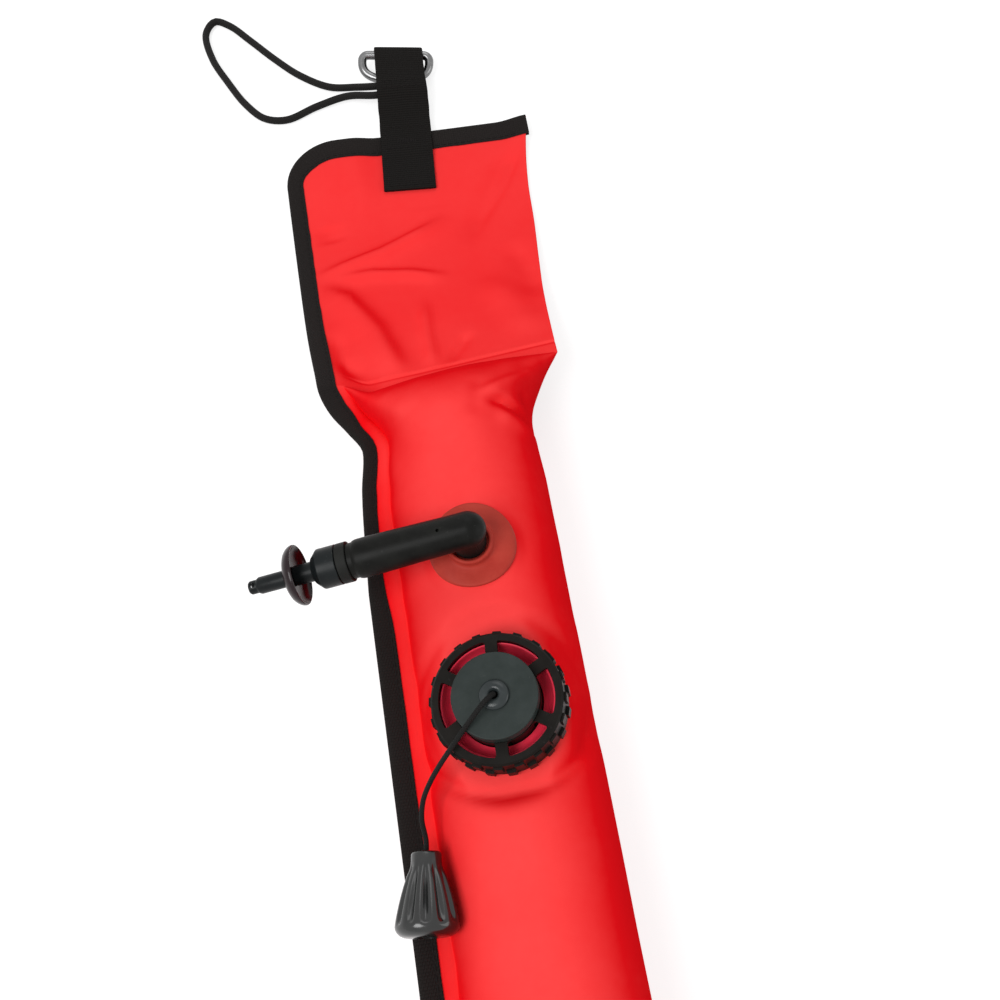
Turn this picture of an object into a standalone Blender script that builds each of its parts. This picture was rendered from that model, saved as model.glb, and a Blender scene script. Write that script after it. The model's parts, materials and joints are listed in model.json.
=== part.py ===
"""Surface marker buoy: an inflated fabric tube with a flap, a D-ring tab, an oral inflator and a dump valve.

Lengths are in millimetres and MM brings them to metres. The buoy lies along +Y with its flap at +Y,
its seam at -X, and rests on Z = 0. The tube's axis is at X = 0 of the frame "buoy".
"""

import math

import bmesh
import bpy
from mathutils import Matrix, Vector

MM = 0.001
GAP = 0.3

# Where the tube's axis lies, so that the buoy's box is centred
SIDE_SHIFT = 11.91

# Bladder
TUBE_RADIUS = 32.0
TUBE_AXIS_Z = 31.0
WALL = 1.0
WELD_Y = 293.0
FAR_WELD_Y = -481.5
FLAP_END_Y = 444.8
FAR_END_Y = -498.41
WELD_Z = 29.0
WELD_RIGHT = 48.0
WELD_LEFT = 45.0
SWELL_LENGTH = 34.0
SWELL_POWER = 0.55
NECK_CENTRE = 41.0
NECK_REACH = 25.0
FABRIC_HALF = 0.45
FLAP_REST_Z = 3.05
FLAP_FALL = 110.0
FLAP_LIFT = 2.4
FLAP_LIFT_START = 15.5
FLAP_LIFT_BLEND = 12.0
CORNER_CURL = 3.0
FLAP_CORNER = 18.5
FAR_CORNER = 10.0
SEAM_LIFT = 6.0
SEAM_RISE = 45.0
FIN_NARROWING = 9.0
FIN_NARROWING_LENGTH = 60.0
FIN_WIDTH = 24.2

# Part of the tube with the valves, whose seam is straight up to STRAIGHT_END
VALVES_START = 85.0
STRAIGHT_END = 190.0

# Fabric edge on the seam side: distance from the weld (negative on the flap), distance from the axis
LEFT_EDGE = (
    (-152.0, 60.2),
    (-108.0, 60.0),
    (-70.0, 59.1),
    (-32.0, 57.4),
    (-9.0, 55.4),
    (3.0, 54.1),
    (14.0, 50.3),
    (25.0, 44.2),
    (37.0, 38.8),
    (54.0, 41.1),
    (97.0, 43.6),
)
# Fold edge of the flap on the other side
RIGHT_EDGE = (
    (-154.0, 61.8),
    (-141.0, 59.4),
    (-127.0, 57.2),
    (-113.0, 55.7),
    (-90.0, 54.4),
    (-64.0, 52.0),
    (-39.0, 49.8),
    (-15.0, 48.6),
    (0.0, WELD_RIGHT),
)

# Edge binding
BINDING_WIDTH = 8.0
BINDING_NOSE = 0.9
END_BINDING_EXTRA = 2.5
BINDING_HALF = 1.35
BINDING_SLOT = 0.75

# Webbing tab and D-ring, in the tab's own frame: Y runs along the strap, from its sewn end
TAB_X = -2.1
TAB_Y = 408.0
TAB_TURN = math.radians(-4.0)
WEBBING_WIDTH = 25.4
WEBBING_HALF = 0.7
LOOP_SKEW = math.radians(-6.0)
RING_BAR_Y = 85.5
RING_BAR_Z = 8.0
LOOP_NARROWING = 0.065
RING_OFFSET = -1.9
RING_WIRE = 4.4
RING_HALF_WIDTH = 17.2
RING_DEPTH = 12.5
RING_CORNER = 3.0
RING_BOW_POWER = 0.75
RING_REST_Z = 2.6

BUNGEE_DIAMETER = 3.6

# Oral inflator: a frame at the neck's foot, whose Z is the neck's axis, and one along the barrel
NECK_FOOT = Vector((-3.3, 199.5, 62.6))
NECK_LEAN = math.radians(-12.2)
NECK_TURN = math.radians(1.9)
KNEE_HEIGHT = 15.8
PATCH_RADIUS = 16.25
PATCH_TOP = 1.5
NECK_RADIUS = 8.7
NECK_BORE = 7.2
NECK_HEIGHT = 4.6
INFLATOR_PORT = 5.5
STEM_RADIUS = 3.65
NIPPLE_RADIUS = 3.15

# Dump valve: a frame on the fabric, whose Z is the valve's axis
VALVE_FOOT = Vector((-1.9, 139.7, 59.0))
VALVE_LEAN = math.radians(-9.0)
VALVE_PORT = 13.3
CAP_SLOTS = 6
CAP_SLOT_TURN = math.radians(-3.5)
CAP_SPOKE = 4.2
CAP_TEETH = 20
CAP_FACE = 14.7
CAP_RADIUS = 22.65
CAP_FLARE = 0.5
HUB_TOP = 19.3

CORD_DIAMETER = 1.8
KNOB_RADIUS = 10.85
KNOB_LENGTH = 27.0
KNOB_FLUTES = 12
KNOB_TOP = Vector((-35.3, 97.0, 50.8))
KNOB_END = Vector((-38.5, 70.3, 51.3))

ROUND = 28
SMALL_ROUND = 18


def clear_scene():
    for thing in list(bpy.data.objects):
        bpy.data.objects.remove(thing, do_unlink=True)


def ease(t):
    t = min(max(t, 0.0), 1.0)
    return t * t * (3.0 - 2.0 * t)


def bump(t):
    return (1.0 - t * t) ** 2 if abs(t) < 1.0 else 0.0


def curve_value(table, key):
    """Smooth value at a key between the pairs of a table, held level past its ends."""
    if key <= table[0][0]:
        return table[0][1]
    if key >= table[-1][0]:
        return table[-1][1]
    slopes = [(b[1] - a[1]) / (b[0] - a[0]) for a, b in zip(table, table[1:])]
    inner = [(a + b) / 2 if a * b > 0 else 0.0 for a, b in zip(slopes, slopes[1:])]
    tangents = [slopes[0]] + inner + [slopes[-1]]
    index = max(i for i in range(len(table) - 1) if table[i][0] <= key)
    (x0, y0), (x1, y1) = table[index], table[index + 1]
    span = x1 - x0
    t = (key - x0) / span
    return (
        (2 * t**3 - 3 * t**2 + 1) * y0
        + (t**3 - 2 * t**2 + t) * span * tangents[index]
        + (3 * t**2 - 2 * t**3) * y1
        + (t**3 - t**2) * span * tangents[index + 1]
    )


def smooth_route(points, spacing):
    """Evenly spaced points on a centripetal Catmull-Rom curve through the route's points."""
    route = [Vector(p) for p in points]
    route = [2 * route[0] - route[1]] + route + [2 * route[-1] - route[-2]]
    fine = []
    for p0, p1, p2, p3 in zip(route, route[1:], route[2:], route[3:]):
        t1 = math.sqrt((p1 - p0).length)
        t2 = t1 + math.sqrt((p2 - p1).length)
        t3 = t2 + math.sqrt((p3 - p2).length)
        steps = 24
        for i in range(steps):
            t = t1 + (t2 - t1) * i / steps
            a1 = p0 * ((t1 - t) / t1) + p1 * (t / t1)
            a2 = p1 * ((t2 - t) / (t2 - t1)) + p2 * ((t - t1) / (t2 - t1))
            a3 = p2 * ((t3 - t) / (t3 - t2)) + p3 * ((t - t2) / (t3 - t2))
            b1 = a1 * ((t2 - t) / t2) + a2 * (t / t2)
            b2 = a2 * ((t3 - t) / (t3 - t1)) + a3 * ((t - t1) / (t3 - t1))
            fine.append(b1 * ((t2 - t) / (t2 - t1)) + b2 * ((t - t1) / (t2 - t1)))
    fine.append(route[-2])
    lengths = [0.0]
    for a, b in zip(fine, fine[1:]):
        lengths.append(lengths[-1] + (b - a).length)
    count = max(2, round(lengths[-1] / spacing))
    even = []
    index = 0
    for k in range(count + 1):
        want = lengths[-1] * k / count
        while index < len(fine) - 2 and lengths[index + 1] < want:
            index += 1
        part = (want - lengths[index]) / (lengths[index + 1] - lengths[index])
        even.append(fine[index].lerp(fine[index + 1], part))
    return even, lengths[-1]


def finish(name, colour, roughness, metallic=0.0):
    material = bpy.data.materials.new(name)
    material.use_nodes = True
    shader = material.node_tree.nodes["Principled BSDF"]
    shader.inputs["Base Color"].default_value = (*colour, 1.0)
    shader.inputs["Roughness"].default_value = roughness
    shader.inputs["Metallic"].default_value = metallic
    return material


def make_frame(name, origin, rotation=Matrix(), parent=None):
    """An empty at a place in its parent's millimetres, turned by a rotation matrix."""
    frame = bpy.data.objects.new(name, None)
    bpy.context.collection.objects.link(frame)
    frame.parent = parent
    frame.matrix_local = Matrix.Translation(Vector(origin) * MM) @ rotation.to_4x4()
    return frame


def add_object(name, data, parent, material):
    thing = bpy.data.objects.new(name, data)
    bpy.context.collection.objects.link(thing)
    thing.parent = parent
    if material:
        data.materials.append(material)
    return thing


def mesh_object(name, bm, parent, material=None, corner=40.0):
    """Object from a bmesh in millimetres, its faces turned out and its edges smooth below the corner."""
    bmesh.ops.recalc_face_normals(bm, faces=bm.faces)
    mesh = bpy.data.meshes.new(name)
    bm.to_mesh(mesh)
    bm.free()
    mesh.transform(Matrix.Scale(MM, 4))
    mesh.shade_smooth()
    mesh.set_sharp_from_angle(angle=math.radians(corner))
    return add_object(name, mesh, parent, material)


def grid_faces(bm, rings, closed):
    """Quads between following rings of vertices; closed also joins the last ring to the first."""
    pairs = list(zip(rings, rings[1:]))
    if closed:
        pairs.append((rings[-1], rings[0]))
    for a, b in pairs:
        for i in range(len(a)):
            j = (i + 1) % len(a)
            bm.faces.new((a[i], a[j], b[j], b[i]))


def loft(bm, sections, capped=True):
    """Skin over sections, each a closed row of points, with flat ends."""
    rings = [[bm.verts.new(p) for p in section] for section in sections]
    grid_faces(bm, rings, closed=not capped)
    if capped:
        bm.faces.new(rings[0])
        bm.faces.new(rings[-1])
    bm.normal_update()


def close_end(bm, row, tip):
    """Triangles over a thin end, from the first vertex along both sides to the tip pair at index tip."""
    over = row[: tip + 1]
    under = [row[0]] + row[: tip : -1]
    i, j = 0, 0
    while i < len(over) - 1 or j < len(under) - 1:
        if j == len(under) - 1 or (i < len(over) - 1 and over[i + 1].co.x >= under[j + 1].co.x):
            corners = (over[i], over[i + 1], under[j])
            i += 1
        else:
            corners = (over[i], under[j + 1], under[j])
            j += 1
        if len(set(corners)) == 3:
            bm.faces.new(corners)


def turned(name, profile, parent, material=None, steps=ROUND):
    """Solid of a closed (radius, height) outline turned about the frame's axis."""
    bm = bmesh.new()
    points = [Vector((r, 0.0, h)) for r, h in profile]
    verts = [bm.verts.new(p) for p in points]
    edges = [bm.edges.new((a, b)) for a, b in zip(verts, verts[1:])]
    if profile[0][0] > 0.0:
        edges.append(bm.edges.new((verts[-1], verts[0])))
    bmesh.ops.spin(
        bm, geom=verts + edges, cent=(0, 0, 0), axis=(0, 0, 1), angle=math.tau, steps=steps, use_merge=True
    )
    bmesh.ops.remove_doubles(bm, verts=bm.verts, dist=0.001)
    return mesh_object(name, bm, parent, material)


def block(name, low, high, parent, turn=0.0):
    """Box between two corners, turned about the frame's Z; used as a cutter."""
    bm = bmesh.new()
    bmesh.ops.create_cube(bm, size=1.0)
    size = [b - a for a, b in zip(low, high)]
    centre = [(a + b) / 2 for a, b in zip(low, high)]
    bmesh.ops.scale(bm, vec=size, verts=bm.verts)
    bmesh.ops.translate(bm, vec=centre, verts=bm.verts)
    bmesh.ops.rotate(bm, verts=bm.verts, matrix=Matrix.Rotation(turn, 3, "Z"))
    return mesh_object(name, bm, parent)


def combine(target, tool, operation):
    """Boolean of a tool object on a target; the tool then stays hidden as a guide."""
    tool.hide_render = True
    tool.display_type = "WIRE"
    change = target.modifiers.new(tool.name, "BOOLEAN")
    change.operation = operation
    change.solver = "EXACT"
    change.object = tool


def tube(name, points, diameter, parent, material, resolution=2, cyclic=False):
    """Round tube along points given in millimetres."""
    curve = bpy.data.curves.new(name, "CURVE")
    curve.dimensions = "3D"
    curve.bevel_depth = diameter / 2 * MM
    curve.bevel_resolution = resolution
    curve.use_fill_caps = True
    spline = curve.splines.new("POLY")
    spline.points.add(len(points) - 1)
    for spot, p in zip(spline.points, points):
        spot.co = (*(Vector(p) * MM), 1.0)
    spline.use_cyclic_u = cyclic
    return add_object(name, curve, parent, material)


def distance_from_weld(y):
    """Distance into the tube from the nearer weld; negative on the flap and the far end's edge."""
    return min(WELD_Y - y, y - FAR_WELD_Y)


def tube_section(y):
    """Half-widths to the right and left, half-height and centre height of the tube at y."""
    depth = max(distance_from_weld(y), 0.0)
    swell = (1.0 - (1.0 - min(depth / SWELL_LENGTH, 1.0)) ** 2) ** SWELL_POWER
    neck = bump((depth - NECK_CENTRE) / NECK_REACH)
    right = WELD_RIGHT - (WELD_RIGHT - TUBE_RADIUS) * swell**2 - neck
    left = WELD_LEFT - (WELD_LEFT - TUBE_RADIUS) * swell**2 - 3.0 * neck
    return right, left, TUBE_RADIUS * swell, WELD_Z + (TUBE_AXIS_Z - WELD_Z) * ease(depth / SWELL_LENGTH)


def seam_lift(y):
    """Height of the seam above the tube's middle."""
    return SEAM_LIFT * ease(distance_from_weld(y) / SEAM_RISE)


def fabric_z(x, y):
    """Height of the middle of the doubled fabric: the flap, the seam's fin and the far end's edge."""
    if y <= WELD_Y:
        return tube_section(y)[3] + seam_lift(y)
    out = min((y - WELD_Y) / FLAP_FALL, 1.0)
    height = FLAP_REST_Z + (WELD_Z - FLAP_REST_Z) * (1.0 - out) ** 1.7
    over_fin = (-x - WELD_LEFT + FIN_NARROWING) / FIN_WIDTH
    lift = FLAP_LIFT * ease((-x - FLAP_LIFT_START) / FLAP_LIFT_BLEND) * (1.0 - min(max(over_fin, 0.0), 1.0))
    curl = CORNER_CURL * ease((x - 46.0) / 16.0) * ease((y - 400.0) / 45.0)
    return height + lift * ease((y - 380.0) / 50.0) + curl


def fabric_normal(x, y):
    """Upward normal of the doubled fabric."""
    step = 0.5
    slope_x = (fabric_z(x + step, y) - fabric_z(x - step, y)) / (2 * step)
    slope_y = (fabric_z(x, y + step) - fabric_z(x, y - step)) / (2 * step)
    return Vector((-slope_x, -slope_y, 1.0)).normalized()


def corner_inset(y, radius):
    """How far a rounded corner draws the seam-side edge in at y."""
    end = FLAP_END_Y if y > 0 else FAR_END_Y
    past = radius - abs(end - y)
    return radius - math.sqrt(radius**2 - past**2) if past > 0 else 0.0


def left_edge(y):
    past_weld = FLAP_END_Y - WELD_Y if y > 0 else 4.0
    edge = curve_value(LEFT_EDGE, max(distance_from_weld(y), -past_weld))
    return edge - corner_inset(y, FLAP_CORNER if y > 0 else FAR_CORNER)


def right_edge(y):
    return curve_value(RIGHT_EDGE, distance_from_weld(y)) - (corner_inset(y, FAR_CORNER) if y < 0 else 0.0)


def press(point, foot, normal, offset, flat_above, flat_below, blend_above, blend_below):
    """Draws a point of the fabric onto a fitting's plane near the fitting, and lets it go further out."""
    height = (point - foot).dot(normal)
    if height < -25.0:
        return point
    radius = ((point - foot) - normal * height).length
    flat, blend = (flat_above, blend_above) if height > offset else (flat_below, blend_below)
    weight = 1.0 - ease((radius - flat) / blend)
    return point - normal * (weight * (height - offset))


def axis_of(lean, turn=0.0):
    return Matrix.Rotation(turn, 3, "Z") @ Matrix.Rotation(lean, 3, "Y")


NECK_FRAME = axis_of(NECK_LEAN, NECK_TURN)
VALVE_FRAME = axis_of(VALVE_LEAN)
NECK_PLANE = (NECK_FOOT, axis_of(math.radians(-4.0)).col[2])
VALVE_PLANE = (VALVE_FOOT, VALVE_FRAME.col[2])


def pressed(point, offset=0.0):
    point = press(point, *VALVE_PLANE, offset, 24.0, 20.0, 14.0, 10.0)
    return press(point, *NECK_PLANE, offset, 10.0, 10.0, 10.0, 10.0)


def seam_angle(y):
    """Angle round the tube, from its right side over the top, at which the seam's fin leaves it."""
    half = tube_section(y)[2]
    return 180.0 - math.degrees(math.asin(seam_lift(y) / half)) if half > 0 else 180.0


TOP_STEPS = 14


def section_angles(y):
    """Angles of a section's points: over the top to the seam, then below, back to the right side."""
    over = [seam_angle(y) * k / TOP_STEPS for k in range(TOP_STEPS + 1)]
    return over + [360.0 - 180.0 * k / TOP_STEPS for k in range(TOP_STEPS - 1, 0, -1)]


def bladder_section(y):
    """Closed row of points round the bladder at y: right side, top, fin and back below."""
    right, left, half, centre = tube_section(y)
    inside = distance_from_weld(y) >= 0
    if not inside:
        right = right_edge(y)
        left = WELD_LEFT - FIN_NARROWING * ease(-distance_from_weld(y) / FIN_NARROWING_LENGTH)
    points = []
    for index, angle in enumerate(section_angles(y)):
        over = math.radians(angle)
        side = right if math.cos(over) > 0 else left
        x = side * math.cos(over)
        rise = math.sin(over)
        if inside:
            z = centre + math.copysign(max(half * abs(rise), FABRIC_HALF), rise) if angle > 0 else centre
            z = max(z, 0.0)
        else:
            z = fabric_z(x, y) + (math.copysign(FABRIC_HALF, rise) if angle > 0 else 0.0)
        if index == TOP_STEPS:
            z = fabric_z(x, y) + FABRIC_HALF
        points.append(pressed(Vector((x, y, z))))
        if index == TOP_STEPS:
            tip = -left_edge(y)
            for side_of_fin in (FABRIC_HALF, -FABRIC_HALF):
                points.append(Vector((tip, y, fabric_z(tip, y) + side_of_fin)))
            points.append(Vector((x, y, fabric_z(x, y) - FABRIC_HALF)))
    return points


def cavity_section(y):
    """Closed row of points one wall inside the tube at y."""
    if distance_from_weld(y) < SWELL_LENGTH + 2:
        y_of_wall = y + (1.2 if abs(y - WELD_Y) < abs(y - FAR_WELD_Y) else -1.2)
    else:
        y_of_wall = y
    right, left, half, centre = tube_section(y_of_wall)
    points = []
    for angle in section_angles(y):
        over = math.radians(angle)
        side = (right if math.cos(over) > 0 else left) - WALL * 1.2
        z = max(centre + (half - WALL) * math.sin(over), WALL)
        points.append(pressed(Vector((side * math.cos(over), y, z)), -WALL))
    return points


def bladder_stations():
    """Positions along Y of the bladder's sections, close together where its shape changes."""
    stations = [FAR_END_Y, FAR_END_Y + 1.5, FAR_END_Y + 4.5, FAR_END_Y + 9.0]
    stations += [FAR_WELD_Y + d for d in (0.0, 1.2, 5.0, 12.0, 22.0, 36.0, 52.0)]
    stations += [-360.0, -140.0, VALVES_START]
    stations += [98.0 + 7.0 * k for k in range(18)]
    stations += [WELD_Y - d for d in (66.0, 54.0, 46.0, 38.0, 30.0, 22.0, 15.0, 9.0, 4.0, 1.2, 0.0)]
    stations += [WELD_Y + 9.0 + 18.0 * k for k in range(7)]
    stations += [423.0, 431.0, 437.5, 442.0, FLAP_END_Y]
    return stations


def make_bladder(frame, fabric):
    bm = bmesh.new()
    rings = [[bm.verts.new(p) for p in bladder_section(y)] for y in bladder_stations()]
    grid_faces(bm, rings, closed=False)
    for ring in (rings[0], rings[-1]):
        close_end(bm, ring, TOP_STEPS + 1)
    bladder = mesh_object("bladder", bm, frame, fabric, corner=50.0)
    bm = bmesh.new()
    loft(bm, [cavity_section(y) for y in bladder_stations() if distance_from_weld(y) > 3.0])
    combine(bladder, mesh_object("air_space", bm, frame), "DIFFERENCE")
    return bladder


def edge_route():
    """Points along the bound edge: the flap's end, the seam side and the far end."""
    end_row = bladder_section(FLAP_END_Y)[1:TOP_STEPS]
    points = [(p.x, FLAP_END_Y) for p in end_row]
    corner_x = left_edge(FLAP_END_Y)
    for k in range(9):
        turn = math.radians(90.0 + 90.0 * k / 8)
        x = FLAP_CORNER * math.cos(turn) - corner_x
        points.append((x, FLAP_END_Y + FLAP_CORNER * (math.sin(turn) - 1)))
    side = [y for y in bladder_stations() if FAR_END_Y + FAR_CORNER < y < FLAP_END_Y - FLAP_CORNER]
    points += [(-left_edge(y), y) for y in reversed(side) if not VALVES_START < y < STRAIGHT_END]
    corner_left = left_edge(FAR_END_Y + FAR_CORNER)
    for k in range(7):
        turn = math.radians(180.0 + 90.0 * k / 6)
        x = -corner_left + FAR_CORNER * (1 + math.cos(turn))
        points.append((x, FAR_END_Y + FAR_CORNER * (1 + math.sin(turn))))
    end_x = right_edge(FAR_END_Y)
    start = -corner_left + FAR_CORNER
    points += [(start + (end_x - start) * k / 2, FAR_END_Y) for k in range(1, 3)]
    return [Vector(p) for p in points]


def make_binding(frame, tape):
    """U-shaped tape swept along the fabric's edge, its slot round the doubled fabric."""
    inner = BINDING_WIDTH - BINDING_NOSE
    outline = [
        (inner, BINDING_SLOT),
        (-GAP, BINDING_SLOT),
        (-GAP, -BINDING_SLOT),
        (inner, -BINDING_SLOT),
        (inner, -BINDING_HALF),
        (-0.4, -BINDING_HALF),
        (-BINDING_NOSE, 0.0),
        (-0.4, BINDING_HALF),
        (inner, BINDING_HALF),
    ]
    sections = []
    route = edge_route()
    for i, place in enumerate(route):
        along = route[min(i + 1, len(route) - 1)] - route[max(i - 1, 0)]
        inward = Vector((-along.y, along.x)).normalized()
        # The tape is folded further over the flap's end
        extra = END_BINDING_EXTRA * ease((place.y - FLAP_END_Y + FLAP_CORNER) / FLAP_CORNER)
        section = []
        for depth, height in outline:
            x, y = place + inward * (depth + extra if depth == inner else depth)
            section.append(Vector((x, y, fabric_z(x, y))) + fabric_normal(x, y) * height)
        sections.append(section)
    bm = bmesh.new()
    loft(bm, sections)
    bmesh.ops.triangulate(bm, faces=[f for f in bm.faces if len(f.verts) > 4])
    return mesh_object("edge_binding", bm, frame, tape)


def strap_route():
    """Middle line of the folded webbing: over the flap, round the ring's bar and back under the flap."""
    reach = WEBBING_HALF + RING_WIRE / 2 + GAP
    over = [(2.4, 4.6), (12.0, 4.6), (20.0, 4.6), (26.0, 5.4), (35.0, 5.45), (41.5, 5.4), (48.0, 6.1)]
    over += [(55.0, 8.0), (60.5, 10.0), (64.0, 10.6), (70.0, 10.6), (74.5, 10.7)]
    over.append((79.5, RING_BAR_Z + reach - 0.15))
    bend = []
    for k in range(14):
        turn = math.radians(90.0 - 212.0 * k / 13)
        bend.append((RING_BAR_Y + reach * math.cos(turn), RING_BAR_Z + reach * math.sin(turn)))
    under = [(78.1, 8.5), (75.6, 8.6), (73.6, 7.6), (72.0, 6.2), (70.2, 4.9), (67.5, 4.1), (64.0, 3.4)]
    under += [(57.0, 2.0), (49.0, 1.0)] + [(y, WEBBING_HALF) for y in (41.5, 30.0, 15.0, 2.4)]
    return [Vector(p) for p in over + bend + under]


def strap_corner(x, place):
    """Point across the strap, which turns with the ring's bar and narrows there on its right."""
    near_loop = ease((place.x - 58.0) / 18.0)
    narrowing = LOOP_NARROWING * near_loop if x > 0 else 0.0
    return x * (1.0 - narrowing), place.x + x * math.tan(LOOP_SKEW) * near_loop, place.y


def make_tab(frame, webbing):
    route = strap_route()
    above, below = [], []
    for i, place in enumerate(route):
        along = (route[min(i + 1, len(route) - 1)] - route[max(i - 1, 0)]).normalized()
        side = Vector((-along.y, along.x)) * WEBBING_HALF
        above.append(place + side)
        below.append(place - side)
    bm = bmesh.new()
    half = WEBBING_WIDTH / 2
    sections = []
    for a, b in zip(above, below):
        corners = ((-half, a), (half, a), (half, b), (-half, b))
        sections.append([strap_corner(x, place) for x, place in corners])
    loft(bm, sections)
    return mesh_object("webbing_tab", bm, frame, webbing)


def make_ring(frame, steel):
    """Closed D: a straight bar on the frame's X axis and a bow toward -Y."""
    points = []
    straight = RING_HALF_WIDTH - RING_CORNER
    points += [(-straight, 0.0, 0.0), (0.0, 0.0, 0.0)]
    for k in range(5):
        turn = math.radians(90.0 - 90.0 * k / 4)
        points.append((straight + RING_CORNER * math.cos(turn), RING_CORNER * (math.sin(turn) - 1), 0.0))
    bow = 16
    depth = RING_DEPTH - RING_CORNER
    for k in range(1, bow):
        turn = math.pi * k / bow
        across = math.copysign(abs(math.cos(turn)) ** RING_BOW_POWER, math.cos(turn))
        down = math.sin(turn) ** RING_BOW_POWER
        points.append((RING_HALF_WIDTH * across, -RING_CORNER - depth * down, 0.0))
    for k in range(4):
        turn = math.radians(180.0 - 90.0 * k / 4)
        points.append((-straight + RING_CORNER * math.cos(turn), RING_CORNER * (math.sin(turn) - 1), 0.0))
    return tube("d_ring", points, RING_WIRE, frame, steel, cyclic=True)


def bungee_route():
    """Route of the elastic loop: out of the tab's side, round on the floor and back in."""
    return (
        (-2.2, 474.8, 7.7),
        (-11.2, 475.3, 7.4),
        (-20.5, 478.8, 4.8),
        (-34.1, 483.8, 2.1),
        (-48.2, 494.0, 1.92),
        (-59.9, 507.0, 1.92),
        (-71.7, 522.2, 1.92),
        (-81.5, 534.2, 1.92),
        (-89.0, 538.6, 1.92),
        (-94.2, 531.0, 1.92),
        (-92.1, 513.0, 1.92),
        (-85.1, 495.4, 1.92),
        (-77.0, 479.0, 1.92),
        (-68.3, 468.6, 1.92),
        (-57.5, 466.0, 1.92),
        (-41.6, 472.0, 2.1),
        (-25.5, 474.2, 4.2),
        (-12.5, 469.9, 7.0),
        (-2.5, 469.4, 7.3),
    )


def make_patch(frame, rubber):
    """Weld patch that follows the tube, with a raised neck whose lip is rolled."""
    outline = [
        (INFLATOR_PORT, GAP),
        (10.0, GAP + 0.1),
        (13.2, GAP + 0.3),
        (PATCH_RADIUS, GAP + 0.2),
        (PATCH_RADIUS, 1.1),
        (PATCH_RADIUS - 0.5, PATCH_TOP),
        (13.0, PATCH_TOP),
        (10.3, PATCH_TOP),
        (NECK_RADIUS, PATCH_TOP + 0.4),
        (NECK_RADIUS, NECK_HEIGHT - 0.4),
        (NECK_RADIUS - 0.4, NECK_HEIGHT),
        (NECK_BORE + 0.3, NECK_HEIGHT),
        (NECK_BORE, NECK_HEIGHT - 0.3),
        (NECK_BORE, PATCH_TOP),
        (INFLATOR_PORT, PATCH_TOP),
    ]
    foot, plane_normal = NECK_PLANE
    turn_to_plane = axis_of(math.radians(-4.0))
    centre = Vector((0.0, foot.y, TUBE_AXIS_Z))
    sections = []
    for k in range(ROUND):
        angle = math.tau * k / ROUND
        section = []
        for radius, height in outline:
            flat = Vector((radius * math.cos(angle), radius * math.sin(angle), 0.0))
            base = foot + turn_to_plane @ flat
            out = base - centre
            out.y = 0.0
            over = out.dot(plane_normal)
            natural = -over + math.sqrt(over**2 - out.length_squared + TUBE_RADIUS**2)
            fabric = pressed(base + plane_normal * natural)
            neck = Vector(NECK_FRAME.col[2]) if radius < 10.0 and height > PATCH_TOP else plane_normal
            section.append(fabric + neck * height)
        sections.append(section)
    bm = bmesh.new()
    loft(bm, sections, capped=False)
    return mesh_object("inflator_patch", bm, frame, rubber)


def rounded_end(radius, start, steps=6):
    """Outline of a half ball that ends a rod at a start height, from the pole outward."""
    points = [(0.0, start - radius)]
    for k in range(1, steps):
        angle = math.pi / 2 * k / steps
        points.append((radius * math.sin(angle), start - radius * math.cos(angle)))
    return points


def make_elbow(neck, barrel, plastic):
    """Elbow: a round knee, a short leg down into the neck, and the tapered barrel that holds the valve."""
    elbow = turned(
        "inflator_elbow",
        rounded_end(6.6, -2.2)
        + [(6.6, -2.2), (6.6, 4.0), (7.2, 31.5), (7.2, 37.4), (6.9, 39.0), (6.5, 39.4)]
        + [(6.5, 41.2), (0.0, 41.2)],
        barrel,
        plastic,
    )
    leg = [(0.0, 3.0), (5.9, 3.0), (6.3, 3.4), (6.3, KNEE_HEIGHT - 0.4), (0.0, KNEE_HEIGHT - 0.4)]
    combine(elbow, turned("elbow_leg", leg, neck, steps=24), "UNION")
    chamber = [(0.0, -0.5), (3.6, -0.5), (3.6, 16.4), (5.3, 16.4), (5.3, 50.0), (0.0, 50.0)]
    combine(elbow, turned("elbow_chamber", chamber, barrel, steps=24), "DIFFERENCE")
    passage = [(0.0, -5.0), (3.4, -5.0), (3.4, KNEE_HEIGHT + 0.6), (0.0, KNEE_HEIGHT + 0.6)]
    combine(elbow, turned("elbow_passage", passage, neck, steps=SMALL_ROUND), "DIFFERENCE")
    pin_hole = block("elbow_pin_hole", (5.2, -0.6, 6.7), (8.0, 0.6, 7.9), barrel)
    combine(elbow, pin_hole, "DIFFERENCE")
    return elbow


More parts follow.
